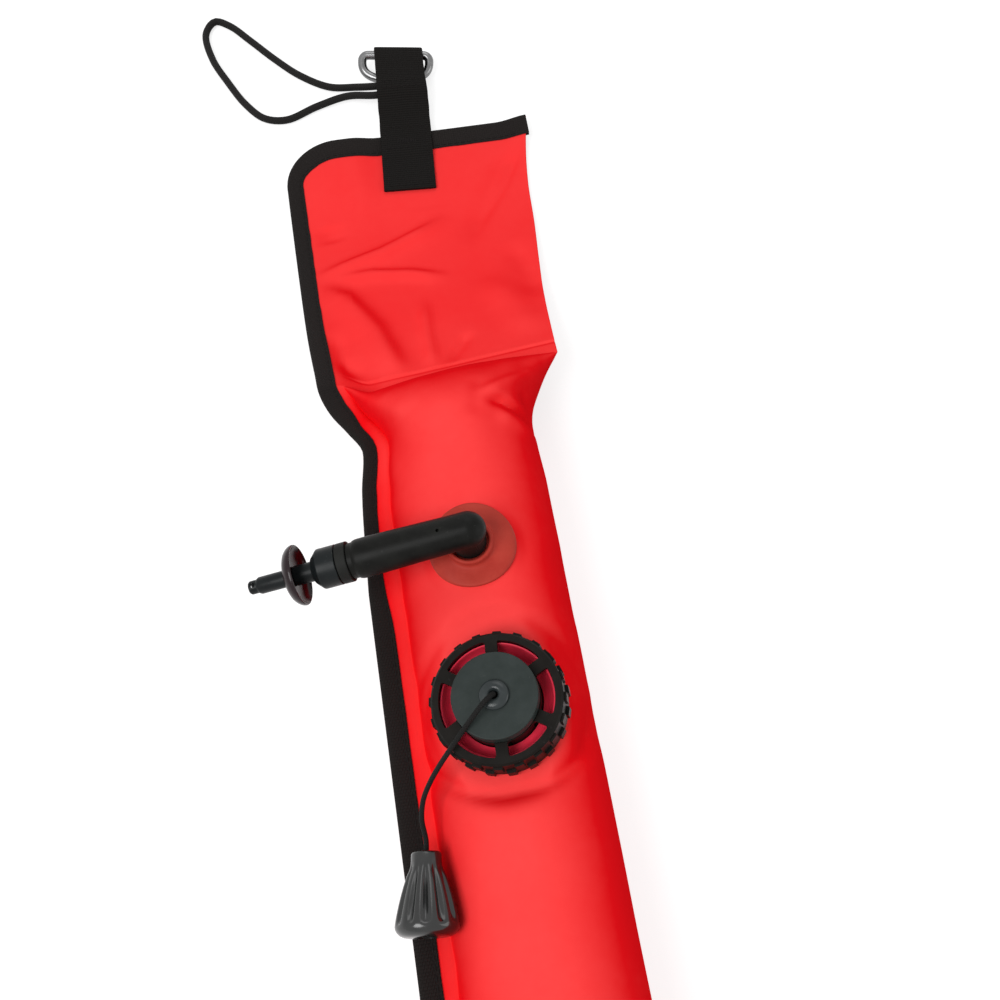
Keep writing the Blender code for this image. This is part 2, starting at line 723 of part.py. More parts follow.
def make_inflator(buoy, materials):
    rubber, plastic, steel = materials["salmon_rubber"], materials["black_plastic"], materials["steel"]
    neck = make_frame("inflator_neck_axis", NECK_FOOT, NECK_FRAME, buoy)
    # The barrel's Z runs away from the knee and its X points up, away from the tube
    outward = Matrix.Rotation(math.radians(-90), 3, "Y")
    barrel = make_frame("inflator_barrel_axis", (0.0, 0.0, KNEE_HEIGHT), outward, neck)
    make_patch(buoy, rubber)
    make_elbow(neck, barrel, plastic)
    turned(
        "inflator_lock_washer",
        [(5.3, 41.5), (7.1, 41.5), (7.4, 41.8), (7.4, 45.0), (7.1, 45.3), (5.3, 45.3)],
        barrel,
        plastic,
    )
    turned(
        "inflator_end_cap",
        [
            (3.95, 32.4),
            (5.0, 32.4),
            (5.0, 45.6),
            (7.1, 45.6),
            (7.4, 45.9),
            (7.4, 52.7),
            (4.7, 55.3),
            (3.95, 55.3),
        ],
        barrel,
        plastic,
    )
    stem = turned(
        "inflator_stem",
        [
            (1.6, 30.6),
            (STEM_RADIUS, 30.6),
            (STEM_RADIUS, 62.3),
            (NIPPLE_RADIUS, 62.3),
            (NIPPLE_RADIUS, 75.8),
            (NIPPLE_RADIUS - 0.4, 76.6),
            (2.5, 76.8),
            (2.5, 79.3),
            (2.0, 80.0),
            (1.6, 80.0),
        ],
        barrel,
        plastic,
        SMALL_ROUND,
    )
    combine(stem, block("stem_inlet", (-5.0, -1.1, 33.8), (5.0, 1.1, 36.0), barrel), "DIFFERENCE")
    combine(stem, block("nipple_hole", (-5.0, -0.8, 77.5), (5.0, 0.8, 79.0), barrel), "DIFFERENCE")
    disc_inner = NIPPLE_RADIUS + GAP
    dish = [(disc_inner, 62.6), (5.0, 62.7), (8.0, 62.3), (9.8, 61.4), (10.6, 60.4), (11.2, 60.6)]
    dish += [(11.2, 61.3), (10.2, 63.2), (8.0, 64.6), (5.6, 65.2), (disc_inner, 65.3)]
    turned("inflator_press_disc", dish, barrel, plastic)
    piston = [(0.0, 27.4), (4.7, 27.4), (4.7, 30.3), (0.0, 30.3)]
    turned("inflator_piston", piston, barrel, plastic, SMALL_ROUND)
    bore = STEM_RADIUS + GAP + 0.1
    seal = [(bore, 30.6), (4.7, 30.6), (4.7, 32.1), (bore, 32.1)]
    turned("inflator_seal", seal, barrel, materials["black_rubber"], SMALL_ROUND)
    make_spring("inflator_spring", 3.75, 3.75, 17.2, 26.6, 4.5, 0.9, barrel, steel)


def make_spring(name, bottom_radius, top_radius, bottom, top, curls, wire, frame, steel):
    """Round-wire spring between two heights of its frame."""
    per_curl = 10
    count = int(curls * per_curl)
    points = []
    for k in range(count + 1):
        part = k / count
        radius = bottom_radius + (top_radius - bottom_radius) * part
        angle = math.tau * curls * part
        points.append((radius * math.cos(angle), radius * math.sin(angle), bottom + (top - bottom) * part))
    pitch = (top - bottom) / curls
    print(name, "least gap between curls, mm:", round(pitch - wire, 2))
    return tube(name, points, wire, frame, steel, resolution=1)


def slot_cutter(name, inner, outer, low, high, middle, frame):
    """Cutter for one slot of the cap's face, which leaves parallel-sided spokes between the slots."""
    bm = bmesh.new()
    steps = 4
    row = []
    for radius, order in ((outer, range(steps + 1)), (inner, range(steps, -1, -1))):
        half_angle = math.pi / CAP_SLOTS - math.asin(CAP_SPOKE / 2 / radius)
        for k in order:
            angle = middle - half_angle + 2 * half_angle * k / steps
            row.append((radius * math.cos(angle), radius * math.sin(angle)))
    loft(bm, [[(x, y, low) for x, y in row], [(x, y, high) for x, y in row]])
    return mesh_object(name, bm, frame)


def make_cap(frame, plastic):
    """Dump valve cap: slotted face, knurled skirt, and an inner sleeve with windows for the air."""
    cap = turned(
        "opv_cap",
        [
            (13.3, 2.4),
            (14.8, 2.4),
            (14.8, CAP_FACE - 2.0),
            (20.2, CAP_FACE - 2.0),
            (20.2, 0.6),
            (CAP_RADIUS + CAP_FLARE, 0.6),
            (CAP_RADIUS, CAP_FACE - 0.7),
            (CAP_RADIUS - 0.7, CAP_FACE),
            (15.15, CAP_FACE),
            (15.15, CAP_FACE - 0.8),
            (13.4, CAP_FACE - 0.8),
            (13.4, 5.6),
            (11.0, 5.6),
            (11.0, 4.8),
            (13.3, 4.8),
        ],
        frame,
        plastic,
        steps=36,
    )
    pitch = math.tau / CAP_TEETH
    bm = bmesh.new()
    for tier, (low, high, reach) in enumerate(((1.3, 6.9, 1.4), (7.4, 12.9, 0.95))):
        for k in range(CAP_TEETH):
            middle = pitch * (k + 0.5 * tier)
            row = []
            for radius, half in ((CAP_RADIUS - 0.5, 0.26), (CAP_RADIUS + reach, 0.19)):
                ends = (-half, half) if radius < CAP_RADIUS else (half, -half)
                for end in ends:
                    angle = middle + end * pitch
                    row.append((radius * math.cos(angle), radius * math.sin(angle)))
            loft(bm, [[(x, y, low) for x, y in row], [(x, y, high) for x, y in row]])
    combine(cap, mesh_object("cap_teeth", bm, frame), "UNION")
    for k in range(CAP_SLOTS):
        middle = CAP_SLOT_TURN + math.tau * k / CAP_SLOTS
        slot = slot_cutter(f"cap_slot_{k}", 14.95, 19.9, CAP_FACE - 3.0, CAP_FACE + 2.0, middle, frame)
        combine(cap, slot, "DIFFERENCE")
        between = middle + math.pi / CAP_SLOTS
        window = block(f"cap_window_{k}", (12.0, -3.0, 6.4), (16.5, 3.0, 10.2), frame, between)
        combine(cap, window, "DIFFERENCE")
    return cap


def make_valve(buoy, materials):
    plastic, rubber = materials["black_plastic"], materials["black_rubber"]
    disc_plastic = materials["grey_plastic"]
    valve = make_frame("valve_axis", VALVE_FOOT, VALVE_FRAME, buoy)
    base = [(8.0, -3.1), (15.2, -3.1), (15.4, -2.9), (15.4, -1.5), (13.0, -1.5), (13.0, 3.4), (9.8, 3.4)]
    turned("opv_base", base + [(9.5, 4.0), (8.0, 4.0)], valve, plastic)
    clamp = [(13.35, 0.3), (19.8, 0.3), (19.8, 11.8), (19.5, 12.2), (19.1, 11.8), (18.6, 9.6)]
    clamp += [(17.4, 7.6), (16.2, 6.8), (15.2, 6.6), (15.2, 2.1), (13.35, 2.1)]
    turned("opv_clamp_ring", clamp, valve, materials["crimson_rubber"])
    turned("opv_gasket", [(10.1, 3.7), (12.8, 3.7), (12.8, 4.5), (10.1, 4.5)], valve, rubber)
    make_cap(valve, plastic)
    turned(
        "opv_hub_disc",
        [
            (3.0, 14.2),
            (4.6, 14.2),
            (4.6, 12.1),
            (7.6, 12.1),
            (7.6, 14.2),
            (11.8, 14.2),
            (11.8, 12.5),
            (13.1, 12.5),
            (13.1, 14.2),
            (14.8, 14.2),
            (14.8, HUB_TOP - 0.5),
            (14.3, HUB_TOP),
            (3.0, HUB_TOP),
        ],
        valve,
        disc_plastic,
        24,
    )
    guide = [(1.35, 13.7), (2.7, 13.7), (2.7, 19.6), (4.9, 19.6), (5.15, 19.9), (4.9, 20.5), (3.9, 21.1)]
    guide += [(2.6, 21.2), (1.7, 20.8), (1.35, 20.2)]
    turned("opv_cord_guide", guide, valve, disc_plastic, SMALL_ROUND)
    turned(
        "opv_poppet",
        [(1.25, 5.6), (9.7, 5.6), (9.7, 7.0), (2.6, 7.0), (2.6, 8.6), (1.25, 8.6)],
        valve,
        plastic,
        steps=24,
    )
    turned("opv_poppet_seal", [(7.7, 4.3), (9.7, 4.3), (9.7, 5.3), (7.7, 5.3)], valve, rubber, 24)
    make_spring("opv_spring", 8.2, 6.0, 7.8, 11.3, 1.75, 0.8, valve, materials["steel"])
    knot = rounded_end(1.9, 3.4)[:-1] + [(1.9, 3.4), (1.5, 4.7), (0.0, 5.3)]
    turned("pull_cord_knot", knot, valve, materials["black_cord"], 12)
    return valve


def cord_route():
    """Route of the pull cord: up the valve's axis, over the cap's rim and down to the knob's core."""
    axis = Vector(VALVE_FRAME.col[2])
    route = [VALVE_FOOT + axis * h for h in (5.6, 8.5, 12.0, 15.5, 18.5, 20.9)]
    route += [Vector(p) for p in ((-6.3, 138.9, 81.2), (-8.6, 137.0, 82.3), (-11.8, 134.2, 81.4))]
    route += [Vector(p) for p in ((-15.8, 130.8, 78.4), (-22.2, 125.0, 73.6), (-27.0, 121.0, 67.4))]
    route += [Vector(p) for p in ((-30.8, 117.3, 61.4), (-33.7, 113.1, 56.8), (-35.2, 107.5, 53.4))]
    down = (KNOB_END - KNOB_TOP).normalized()
    route += [KNOB_TOP - down * 4.0]
    route += [KNOB_TOP + down * d for d in (2.0, 8.0, 14.0, 19.0)]
    return route


def make_knob(buoy, materials):
    """Fluted knob with a cord bore and a knot pocket, and the knot in the pocket."""
    rubber = materials["gloss_rubber"]
    down = (KNOB_END - KNOB_TOP).normalized()
    side = down.cross(Vector((0, 0, 1))).normalized()
    turn = Matrix((side, down.cross(side), down)).transposed()
    frame = make_frame("knob_axis", KNOB_TOP, turn, buoy)
    levels = [(0.0, 4.9, 0.0), (0.5, 5.15, 0.0), (3.6, 5.3, 0.0), (8.0, 7.0, 0.4), (14.0, 8.9, 0.8)]
    levels += [(20.0, 10.4, 0.9), (22.4, 10.8, 0.5), (23.2, KNOB_RADIUS, 0.0)]
    levels += [(25.0, 10.2, 0.0), (26.5, 8.6, 0.0)]
    per_flute = 3
    columns = KNOB_FLUTES * per_flute
    sections = []
    for height, radius, depth in levels:
        row = []
        for k in range(columns):
            dent = depth * (0.0, 1.0, 1.0)[k % per_flute]
            angle = math.tau * k / columns
            row.append(((radius - dent) * math.cos(angle), (radius - dent) * math.sin(angle), height))
        sections.append(row)
    sections.append([(x * 0.8, y * 0.8, KNOB_LENGTH) for x, y, _ in sections[-1]])
    bm = bmesh.new()
    loft(bm, sections)
    knob = mesh_object("pull_knob", bm, frame, rubber)
    bore = [(0.0, -1.0), (1.3, -1.0), (1.3, 20.0), (3.4, 20.0), (3.4, 29.0), (0.0, 29.0)]
    combine(knob, turned("knob_bore", bore, frame, steps=16), "DIFFERENCE")
    knot = [(0.0, 20.4), (1.4, 20.4), (2.4, 21.4), (2.4, 23.0), (1.4, 24.2), (0.0, 24.2)]
    turned("knob_cord_knot", knot, frame, materials["black_cord"], 12)


def make_materials():
    return {
        "red_fabric": finish("red_coated_fabric", (0.91, 0.03, 0.035), 0.42),
        "black_tape": finish("black_binding_tape", (0.018, 0.015, 0.014), 0.85),
        "black_webbing": finish("black_webbing", (0.016, 0.013, 0.011), 0.9),
        "black_cord": finish("black_cord", (0.014, 0.013, 0.013), 0.75),
        "black_plastic": finish("black_moulded_plastic", (0.025, 0.023, 0.02), 0.4),
        "grey_plastic": finish("dark_grey_plastic", (0.045, 0.052, 0.05), 0.45),
        "black_rubber": finish("black_seal_rubber", (0.02, 0.02, 0.02), 0.7),
        "gloss_rubber": finish("glossy_black_rubber", (0.02, 0.02, 0.02), 0.25),
        "salmon_rubber": finish("salmon_patch", (0.58, 0.06, 0.045), 0.5),
        "crimson_rubber": finish("crimson_rubber", (0.55, 0.02, 0.045), 0.4),
        "steel": finish("stainless_steel", (0.6, 0.6, 0.6), 0.25, 1.0),
    }


def build():
    clear_scene()
    materials = make_materials()
    buoy = make_frame("buoy", (SIDE_SHIFT, 0.0, 0.0))
    bladder = make_bladder(buoy, materials["red_fabric"])
    make_binding(buoy, materials["black_tape"])

    tab = make_frame("tab_frame", (TAB_X, TAB_Y, 0.0), Matrix.Rotation(TAB_TURN, 3, "Z"), buoy)
    make_tab(tab, materials["black_webbing"])
    rest_tilt = math.asin((RING_BAR_Z - RING_REST_Z) / RING_DEPTH)
    ring_turn = Matrix.Rotation(LOOP_SKEW, 3, "Z") @ Matrix.Rotation(rest_tilt, 3, "X")
    ring_axis = make_frame("d_ring_axis", (RING_OFFSET, RING_BAR_Y, RING_BAR_Z), ring_turn, tab)
    make_ring(ring_axis, materials["steel"])
    bungee, length = smooth_route(bungee_route(), BUNGEE_DIAMETER * 2)
    print("bungee loop length, mm:", round(length, 2))
    tube("bungee_loop", bungee, BUNGEE_DIAMETER, buoy, materials["black_cord"])

    make_inflator(buoy, materials)
    valve = make_valve(buoy, materials)
    cord, length = smooth_route(cord_route(), CORD_DIAMETER * 1.6)
    print("pull cord length, mm:", round(length, 2))
    tube("pull_cord", cord, CORD_DIAMETER, buoy, materials["black_cord"])
    make_knob(buoy, materials)

    port = turned("valve_port", [(0.0, -6.0), (VALVE_PORT, -6.0), (VALVE_PORT, 6.0), (0.0, 6.0)], valve)
    combine(bladder, port, "DIFFERENCE")
    port_frame = make_frame("inflator_port_axis", NECK_FOOT, axis_of(math.radians(-4.0)), buoy)
    port = [(0.0, -6.0), (INFLATOR_PORT, -6.0), (INFLATOR_PORT, 6.0), (0.0, 6.0)]
    combine(bladder, turned("inflator_port", port, port_frame, steps=24), "DIFFERENCE")


build()
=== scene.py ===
"""Surface marker buoy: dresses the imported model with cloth, webbing, cords and moulded pieces.

Shapes are worked out in millimetres in the buoy's own frame, whose Y axis is the tube's axis, and
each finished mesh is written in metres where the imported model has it.
"""

import json
import math

import bmesh
import bpy
from mathutils import Matrix, Vector, noise
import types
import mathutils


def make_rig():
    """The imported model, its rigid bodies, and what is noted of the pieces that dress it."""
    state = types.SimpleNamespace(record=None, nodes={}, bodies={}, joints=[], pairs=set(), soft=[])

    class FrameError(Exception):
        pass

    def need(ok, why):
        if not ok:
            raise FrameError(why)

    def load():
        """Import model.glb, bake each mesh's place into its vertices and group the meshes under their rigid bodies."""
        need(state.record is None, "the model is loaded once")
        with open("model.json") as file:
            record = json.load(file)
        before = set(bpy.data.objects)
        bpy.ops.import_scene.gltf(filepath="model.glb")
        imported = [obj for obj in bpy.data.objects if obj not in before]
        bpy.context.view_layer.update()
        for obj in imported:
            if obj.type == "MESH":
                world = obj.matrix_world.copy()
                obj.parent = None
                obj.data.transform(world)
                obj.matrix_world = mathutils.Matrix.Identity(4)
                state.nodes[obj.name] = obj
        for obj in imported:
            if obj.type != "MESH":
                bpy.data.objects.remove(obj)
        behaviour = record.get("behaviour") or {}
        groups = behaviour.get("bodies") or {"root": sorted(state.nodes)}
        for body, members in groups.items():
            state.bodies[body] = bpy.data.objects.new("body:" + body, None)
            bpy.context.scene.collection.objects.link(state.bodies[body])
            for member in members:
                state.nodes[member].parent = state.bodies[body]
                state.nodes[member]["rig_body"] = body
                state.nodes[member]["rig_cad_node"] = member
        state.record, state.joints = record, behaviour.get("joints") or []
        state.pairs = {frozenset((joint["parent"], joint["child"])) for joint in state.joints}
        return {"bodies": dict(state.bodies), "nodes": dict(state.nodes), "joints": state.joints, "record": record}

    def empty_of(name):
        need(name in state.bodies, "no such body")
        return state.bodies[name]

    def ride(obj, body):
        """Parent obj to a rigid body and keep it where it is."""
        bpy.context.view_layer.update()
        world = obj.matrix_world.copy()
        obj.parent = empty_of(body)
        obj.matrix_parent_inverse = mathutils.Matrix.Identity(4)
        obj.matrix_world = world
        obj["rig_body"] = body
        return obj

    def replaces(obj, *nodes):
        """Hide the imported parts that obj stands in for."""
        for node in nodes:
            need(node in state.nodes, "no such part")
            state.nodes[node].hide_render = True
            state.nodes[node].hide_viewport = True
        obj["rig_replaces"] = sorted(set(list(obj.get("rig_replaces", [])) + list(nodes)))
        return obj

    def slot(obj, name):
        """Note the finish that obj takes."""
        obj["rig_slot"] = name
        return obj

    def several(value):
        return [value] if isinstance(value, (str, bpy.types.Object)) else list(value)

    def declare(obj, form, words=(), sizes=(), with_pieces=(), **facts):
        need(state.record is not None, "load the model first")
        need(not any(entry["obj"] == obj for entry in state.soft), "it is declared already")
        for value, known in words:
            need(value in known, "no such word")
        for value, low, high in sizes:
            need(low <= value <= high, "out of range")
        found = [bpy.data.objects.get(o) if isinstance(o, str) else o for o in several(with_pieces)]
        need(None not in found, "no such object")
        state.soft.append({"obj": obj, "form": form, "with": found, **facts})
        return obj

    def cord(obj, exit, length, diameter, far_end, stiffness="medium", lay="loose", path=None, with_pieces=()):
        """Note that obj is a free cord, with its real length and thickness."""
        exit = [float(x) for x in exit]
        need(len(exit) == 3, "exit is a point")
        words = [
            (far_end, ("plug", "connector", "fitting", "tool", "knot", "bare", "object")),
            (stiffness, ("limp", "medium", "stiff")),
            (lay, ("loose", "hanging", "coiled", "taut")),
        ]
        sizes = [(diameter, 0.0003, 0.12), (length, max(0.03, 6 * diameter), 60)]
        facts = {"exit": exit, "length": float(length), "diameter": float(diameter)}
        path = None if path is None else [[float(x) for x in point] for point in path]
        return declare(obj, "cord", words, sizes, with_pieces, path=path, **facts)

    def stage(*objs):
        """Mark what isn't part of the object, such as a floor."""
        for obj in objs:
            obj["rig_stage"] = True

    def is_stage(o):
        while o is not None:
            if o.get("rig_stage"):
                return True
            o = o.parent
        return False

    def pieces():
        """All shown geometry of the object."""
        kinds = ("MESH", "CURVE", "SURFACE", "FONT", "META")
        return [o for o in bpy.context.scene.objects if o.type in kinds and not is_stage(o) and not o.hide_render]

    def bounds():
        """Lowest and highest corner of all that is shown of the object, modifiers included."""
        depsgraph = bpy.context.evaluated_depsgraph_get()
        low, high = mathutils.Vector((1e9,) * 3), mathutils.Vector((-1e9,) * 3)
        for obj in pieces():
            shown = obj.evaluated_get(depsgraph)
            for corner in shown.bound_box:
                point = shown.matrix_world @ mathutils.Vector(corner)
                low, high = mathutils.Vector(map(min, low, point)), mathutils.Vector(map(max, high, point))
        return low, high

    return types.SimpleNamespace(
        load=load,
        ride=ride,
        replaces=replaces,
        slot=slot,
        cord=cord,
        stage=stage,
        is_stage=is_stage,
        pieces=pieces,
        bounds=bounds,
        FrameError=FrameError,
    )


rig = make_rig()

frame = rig.load()
packed_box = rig.bounds()

MM = 0.001
SIDE_SHIFT = 11.91

# Tube, flap and seam
TUBE_RADIUS = 32.0
TUBE_AXIS_Z = 31.0
WELD_Y = 293.0
FAR_WELD_Y = -481.5
FLAP_END_Y = 444.8
FAR_END_Y = -498.41
WELD_Z = 29.0
WELD_RIGHT = 48.0
WELD_LEFT = 45.0
SWELL_LENGTH = 34.0
SWELL_POWER = 0.55
NECK_CENTRE = 38.0
NECK_REACH = 25.0
NECK_SEAM_DEPTH = 3.0
FABRIC_HALF = 0.45
PRESS_DEPTH = -25.0
FLAP_REST_Z = 3.05
FLAP_FALL = 110.0
FLAP_FALL_POWER = 1.7
FLAP_LIFT = 2.4
FLAP_LIFT_START = 13.6
FLAP_LIFT_BLEND = 14.0
CORNER_CURL = 3.0
FABRIC_LOWEST = 1.4
FLAP_CORNER = 23.5
END_BINDING_EXTRA = 3.6
FAR_CORNER = 10.0
SEAM_LIFT = 6.0
SEAM_RISE = 45.0
FIN_NARROWING = 9.0
FIN_NARROWING_LENGTH = 60.0
FIN_WIDTH = 24.2
WELD_CREASE = 0.6
WELD_CREASE_PLACE = 7.0
WELD_CREASE_WIDTH = 0.8
RIGHT_FOLD_THINNING = 12.0
OVER_STEPS = 72
FIN_STEPS = 8
UNDER_STEPS = 64
FAR_FINE_LENGTH = 80.0
STEADY_EDGE_Y = 190.0

# Where an effect on the cloth or its tape sets in: start, length of the change
LIFT_ALONG = (380.0, 50.0)
CURL_ACROSS = (46.0, 16.0)
CURL_ALONG = (400.0, 45.0)
FIN_ROOT = (33.0, 6.0)
CALM_BY_WELD = (0.0, 16.0)
CALM_BY_SEAM = (4.0, 10.0)
CALM_BY_END = (12.0, 14.0)
CALM_BY_TAB = (0.0, 10.0)
NARROW_TAPE_START = (176.0, 34.0)
NARROW_TAPE_END = (264.0, 14.0)
NARROW_TAPE_PART = 0.3

# Unevenness of the cloth: height, length of its waves
FLAP_UNEVEN = (0.35, 26.0)
SEAM_UNEVEN = (0.35, 21.0)
TUBE_UNEVEN = (0.22, 34.0)

# Pleats by the welds: height, length of the region along the tube, fade by the weld
PLEATS = (0.8, 70.0, 9.0)

# Puckers of the tube beside its seam: height, place across, width
PUCKERS = (0.35, 31.0, 5.0)

# The far end's creases are the first ones of the near end, turned over and lower
FAR_CREASES = 8
FAR_CREASE_PART = 0.7

# Fabric edge on the seam side, then the flap's fold: distance from the weld, distance from the axis
LEFT_EDGE = (
    (-152.0, 60.2),
    (-108.0, 60.0),
    (-70.0, 59.1),
    (-32.0, 57.4),
    (-9.0, 55.4),
    (3.0, 54.1),
    (14.0, 50.3),
    (25.0, 44.2),
    (37.0, 38.8),
    (54.0, 41.1),
    (97.0, 43.6),
)
RIGHT_EDGE = (
    (-154.0, 61.8),
    (-141.0, 59.4),
    (-127.0, 57.2),
    (-113.0, 55.7),
    (-90.0, 54.4),
    (-64.0, 52.0),
    (-39.0, 49.8),
    (-15.0, 48.6),
    (0.0, WELD_RIGHT),
)

# Fittings
NECK_FOOT = Vector((-3.3, 199.5, 62.6))
NECK_LEAN = math.radians(-12.2)
NECK_TURN = math.radians(1.9)
PATCH_LEAN = math.radians(-4.0)
KNEE_HEIGHT = 15.8
PATCH_RADIUS = 16.25
VALVE_FOOT = Vector((-1.9, 139.7, 59.0))
VALVE_LEAN = math.radians(-9.0)
CAP_SLOTS = 6
CAP_SLOT_TURN = math.radians(-3.5)
CAP_SPOKE = 4.2
CAP_TEETH = 20
CAP_FACE = 14.7
CAP_RADIUS = 22.65
CAP_FLARE = 0.5
HUB_TOP = 19.3
KNOB_TOP = Vector((-35.3, 97.0, 50.8))
KNOB_END = Vector((-38.5, 70.3, 51.3))
KNOB_FLUTES = 12

# Webbing tab and ring
TAB_CALM_Y = 398.0
TAB_FOOT = Vector((-2.1, 408.0, 0.0))
TAB_TURN = math.radians(-4.0)
WEBBING_WIDTH = 25.4
WEBBING_HALF = 0.7
STRAP_WAVER = 0.2
LOOP_SKEW = math.radians(-6.0)
LOOP_NARROWING = 0.065
RING_PLACE = Vector((-1.9, 85.5, 8.0))
RING_WIRE = 4.4
RING_HALF_WIDTH = 17.2
RING_DEPTH = 12.5
RING_CORNER = 3.0
RING_BOW_POWER = 0.75
RING_REST_Z = 2.6

# Cords
BUNGEE_DIAMETER = 3.6
PULL_CORD_DIAMETER = 1.8

# Stitches: the tape's row by its depth from the cloth's edge, its height and its pitch, then each
# kind of stitch by its length and radius
BINDING_SEAM = (5.6, 0.98, 3.2)
BINDING_STITCH = (2.7, 0.3)
TAB_STITCH = (2.3, 0.26)
TACK_STITCH = (4.0, 0.3)
TAB_STITCH_PITCH = 2.7
TAB_ROWS = (5.0, 27.5, 40.5, 62.0, 66.0)
TAB_SEAM_INSET = 2.6
TACK_PITCH = 0.8

# Direction that the cloth's painted light faces: the cloth is painted paler where it faces this way, and keeps its
# shaded red where it faces away
PAINTED_LIGHT_SIDE = (-0.2, -0.25, 0.95)

# Studio: world strength, floor, and each lamp's name, place, size and power
WORLD_STRENGTH = 0.45
WHITE = (1.0, 1.0, 1.0, 1.0)
FLOOR_HALF = 6.0
FLOOR_DROP = 0.0002
FLOOR_GREY = 0.35
SEEN_FLOOR_GREY = 0.45
SEEN_FLOOR_GLOW = 0.72
LAMP_AIM = Vector((0.0, 0.25, 0.03))
LAMPS = (
    ("key", (-0.75, -0.25, 1.25), 0.9, 14.0),
    ("fill", (0.2, 1.3, 1.2), 1.0, 4.0),
    ("side", (1.1, -0.2, 0.45), 0.8, 2.6),
)

# Camera, from the photograph's perspective
CAMERA_PLACE = Vector((-17.63, 51.80, 444.51))
CAMERA_ELEVATION = math.radians(66.5)
CAMERA_AZIMUTH = math.radians(9.5)
CAMERA_LENS = 40.32

UP = Vector((0.0, 0.0, 1.0))


def place(rotation, origin, parent):
    return parent @ Matrix.Translation(Vector(origin)) @ rotation


def lean(angle):
    return Matrix.Rotation(angle, 4, "Y")


BUOY = Matrix.Translation((SIDE_SHIFT, 0.0, 0.0))
NECK = place(Matrix.Rotation(NECK_TURN, 4, "Z") @ lean(NECK_LEAN), NECK_FOOT, BUOY)
BARREL = place(lean(math.radians(-90.0)), (0.0, 0.0, KNEE_HEIGHT), NECK)
VALVE = place(lean(VALVE_LEAN), VALVE_FOOT, BUOY)
TAB = place(Matrix.Rotation(TAB_TURN, 4, "Z"), TAB_FOOT, BUOY)
ring_tilt = math.asin((RING_PLACE.z - RING_REST_Z) / RING_DEPTH)
RING = place(Matrix.Rotation(LOOP_SKEW, 4, "Z") @ Matrix.Rotation(ring_tilt, 4, "X"), RING_PLACE, TAB)
knob_down = (KNOB_END - KNOB_TOP).normalized()
knob_side = knob_down.cross(UP).normalized()
knob_turn = Matrix((knob_side, knob_down.cross(knob_side), knob_down)).transposed()
KNOB = place(knob_turn.to_4x4(), KNOB_TOP, BUOY)


def clamped(t):
    return min(max(t, 0.0), 1.0)


def ease(t):
    t = clamped(t)
    return t * t * (3.0 - 2.0 * t)


def ramp(value, start, length):
    """Smooth change from 0 at start to 1 a length further."""
    return ease((value - start) / length)


def bump(t):
    """Smooth hump that is 1 in the middle and 0 from -1 down and from 1 up."""
    return (1.0 - t * t) ** 2 if abs(t) < 1.0 else 0.0


def spaced(start, end, step):
    """Values from start to just before end, about a step apart."""
    count = max(1, round(abs(end - start) / step))
    return [start + (end - start) * k / count for k in range(count)]


def arc(x, y, radius, start, sweep, steps):
    """Points of an arc about (x, y), from a start angle through a sweep, both in degrees."""
    turns = [math.radians(start + sweep * k / steps) for k in range(steps + 1)]
    return [(x + radius * math.cos(turn), y + radius * math.sin(turn)) for turn in turns]


def circle(spot, side, up, radius, steps):
    turns = [math.tau * k / steps for k in range(steps)]
    return [spot + (side * math.cos(turn) + up * math.sin(turn)) * radius for turn in turns]


def curve_value(table, key):
    """Smooth value at a key between the pairs of a table, held level past its ends."""
    if key <= table[0][0]:
        return table[0][1]
    if key >= table[-1][0]:
        return table[-1][1]
    slopes = [(b[1] - a[1]) / (b[0] - a[0]) for a, b in zip(table, table[1:])]
    tangents = [slopes[0]]
    tangents += [(a + b) / 2 if a * b > 0 else 0.0 for a, b in zip(slopes, slopes[1:])]
    tangents.append(slopes[-1])
    index = max(i for i in range(len(table) - 1) if table[i][0] <= key)
    (x0, y0), (x1, y1) = table[index], table[index + 1]
    span = x1 - x0
    t = (key - x0) / span
    return (
        (2 * t**3 - 3 * t**2 + 1) * y0
        + (t**3 - 2 * t**2 + t) * span * tangents[index]
        + (3 * t**2 - 2 * t**3) * y1
        + (t**3 - t**2) * span * tangents[index + 1]
    )


def smooth_route(points, spacing):
    """Evenly spaced points on a centripetal Catmull-Rom curve through the route's points, and its length."""
    route = [Vector(p) for p in points]
    route = [2 * route[0] - route[1]] + route + [2 * route[-1] - route[-2]]
    fine = []
    for p0, p1, p2, p3 in zip(route, route[1:], route[2:], route[3:]):
        t1 = math.sqrt((p1 - p0).length)
        t2 = t1 + math.sqrt((p2 - p1).length)
        t3 = t2 + math.sqrt((p3 - p2).length)
        steps = 24
        for i in range(steps):
            t = t1 + (t2 - t1) * i / steps
            a1 = p0 * ((t1 - t) / t1) + p1 * (t / t1)
            a2 = p1 * ((t2 - t) / (t2 - t1)) + p2 * ((t - t1) / (t2 - t1))
            a3 = p2 * ((t3 - t) / (t3 - t2)) + p3 * ((t - t2) / (t3 - t2))
            b1 = a1 * ((t2 - t) / t2) + a2 * (t / t2)
            b2 = a2 * ((t3 - t) / (t3 - t1)) + a3 * ((t - t1) / (t3 - t1))
            fine.append(b1 * ((t2 - t) / (t2 - t1)) + b2 * ((t - t1) / (t2 - t1)))
    fine.append(route[-2])
    lengths = [0.0]
    for a, b in zip(fine, fine[1:]):
        lengths.append(lengths[-1] + (b - a).length)
    count = max(2, round(lengths[-1] / spacing))
    even = []
    index = 0
    for k in range(count + 1):
        want = lengths[-1] * k / count
        while index < len(fine) - 2 and lengths[index + 1] < want:
            index += 1
        part = (want - lengths[index]) / (lengths[index + 1] - lengths[index])
        even.append(fine[index].lerp(fine[index + 1], part))
    return even, lengths[-1]


# Making pieces


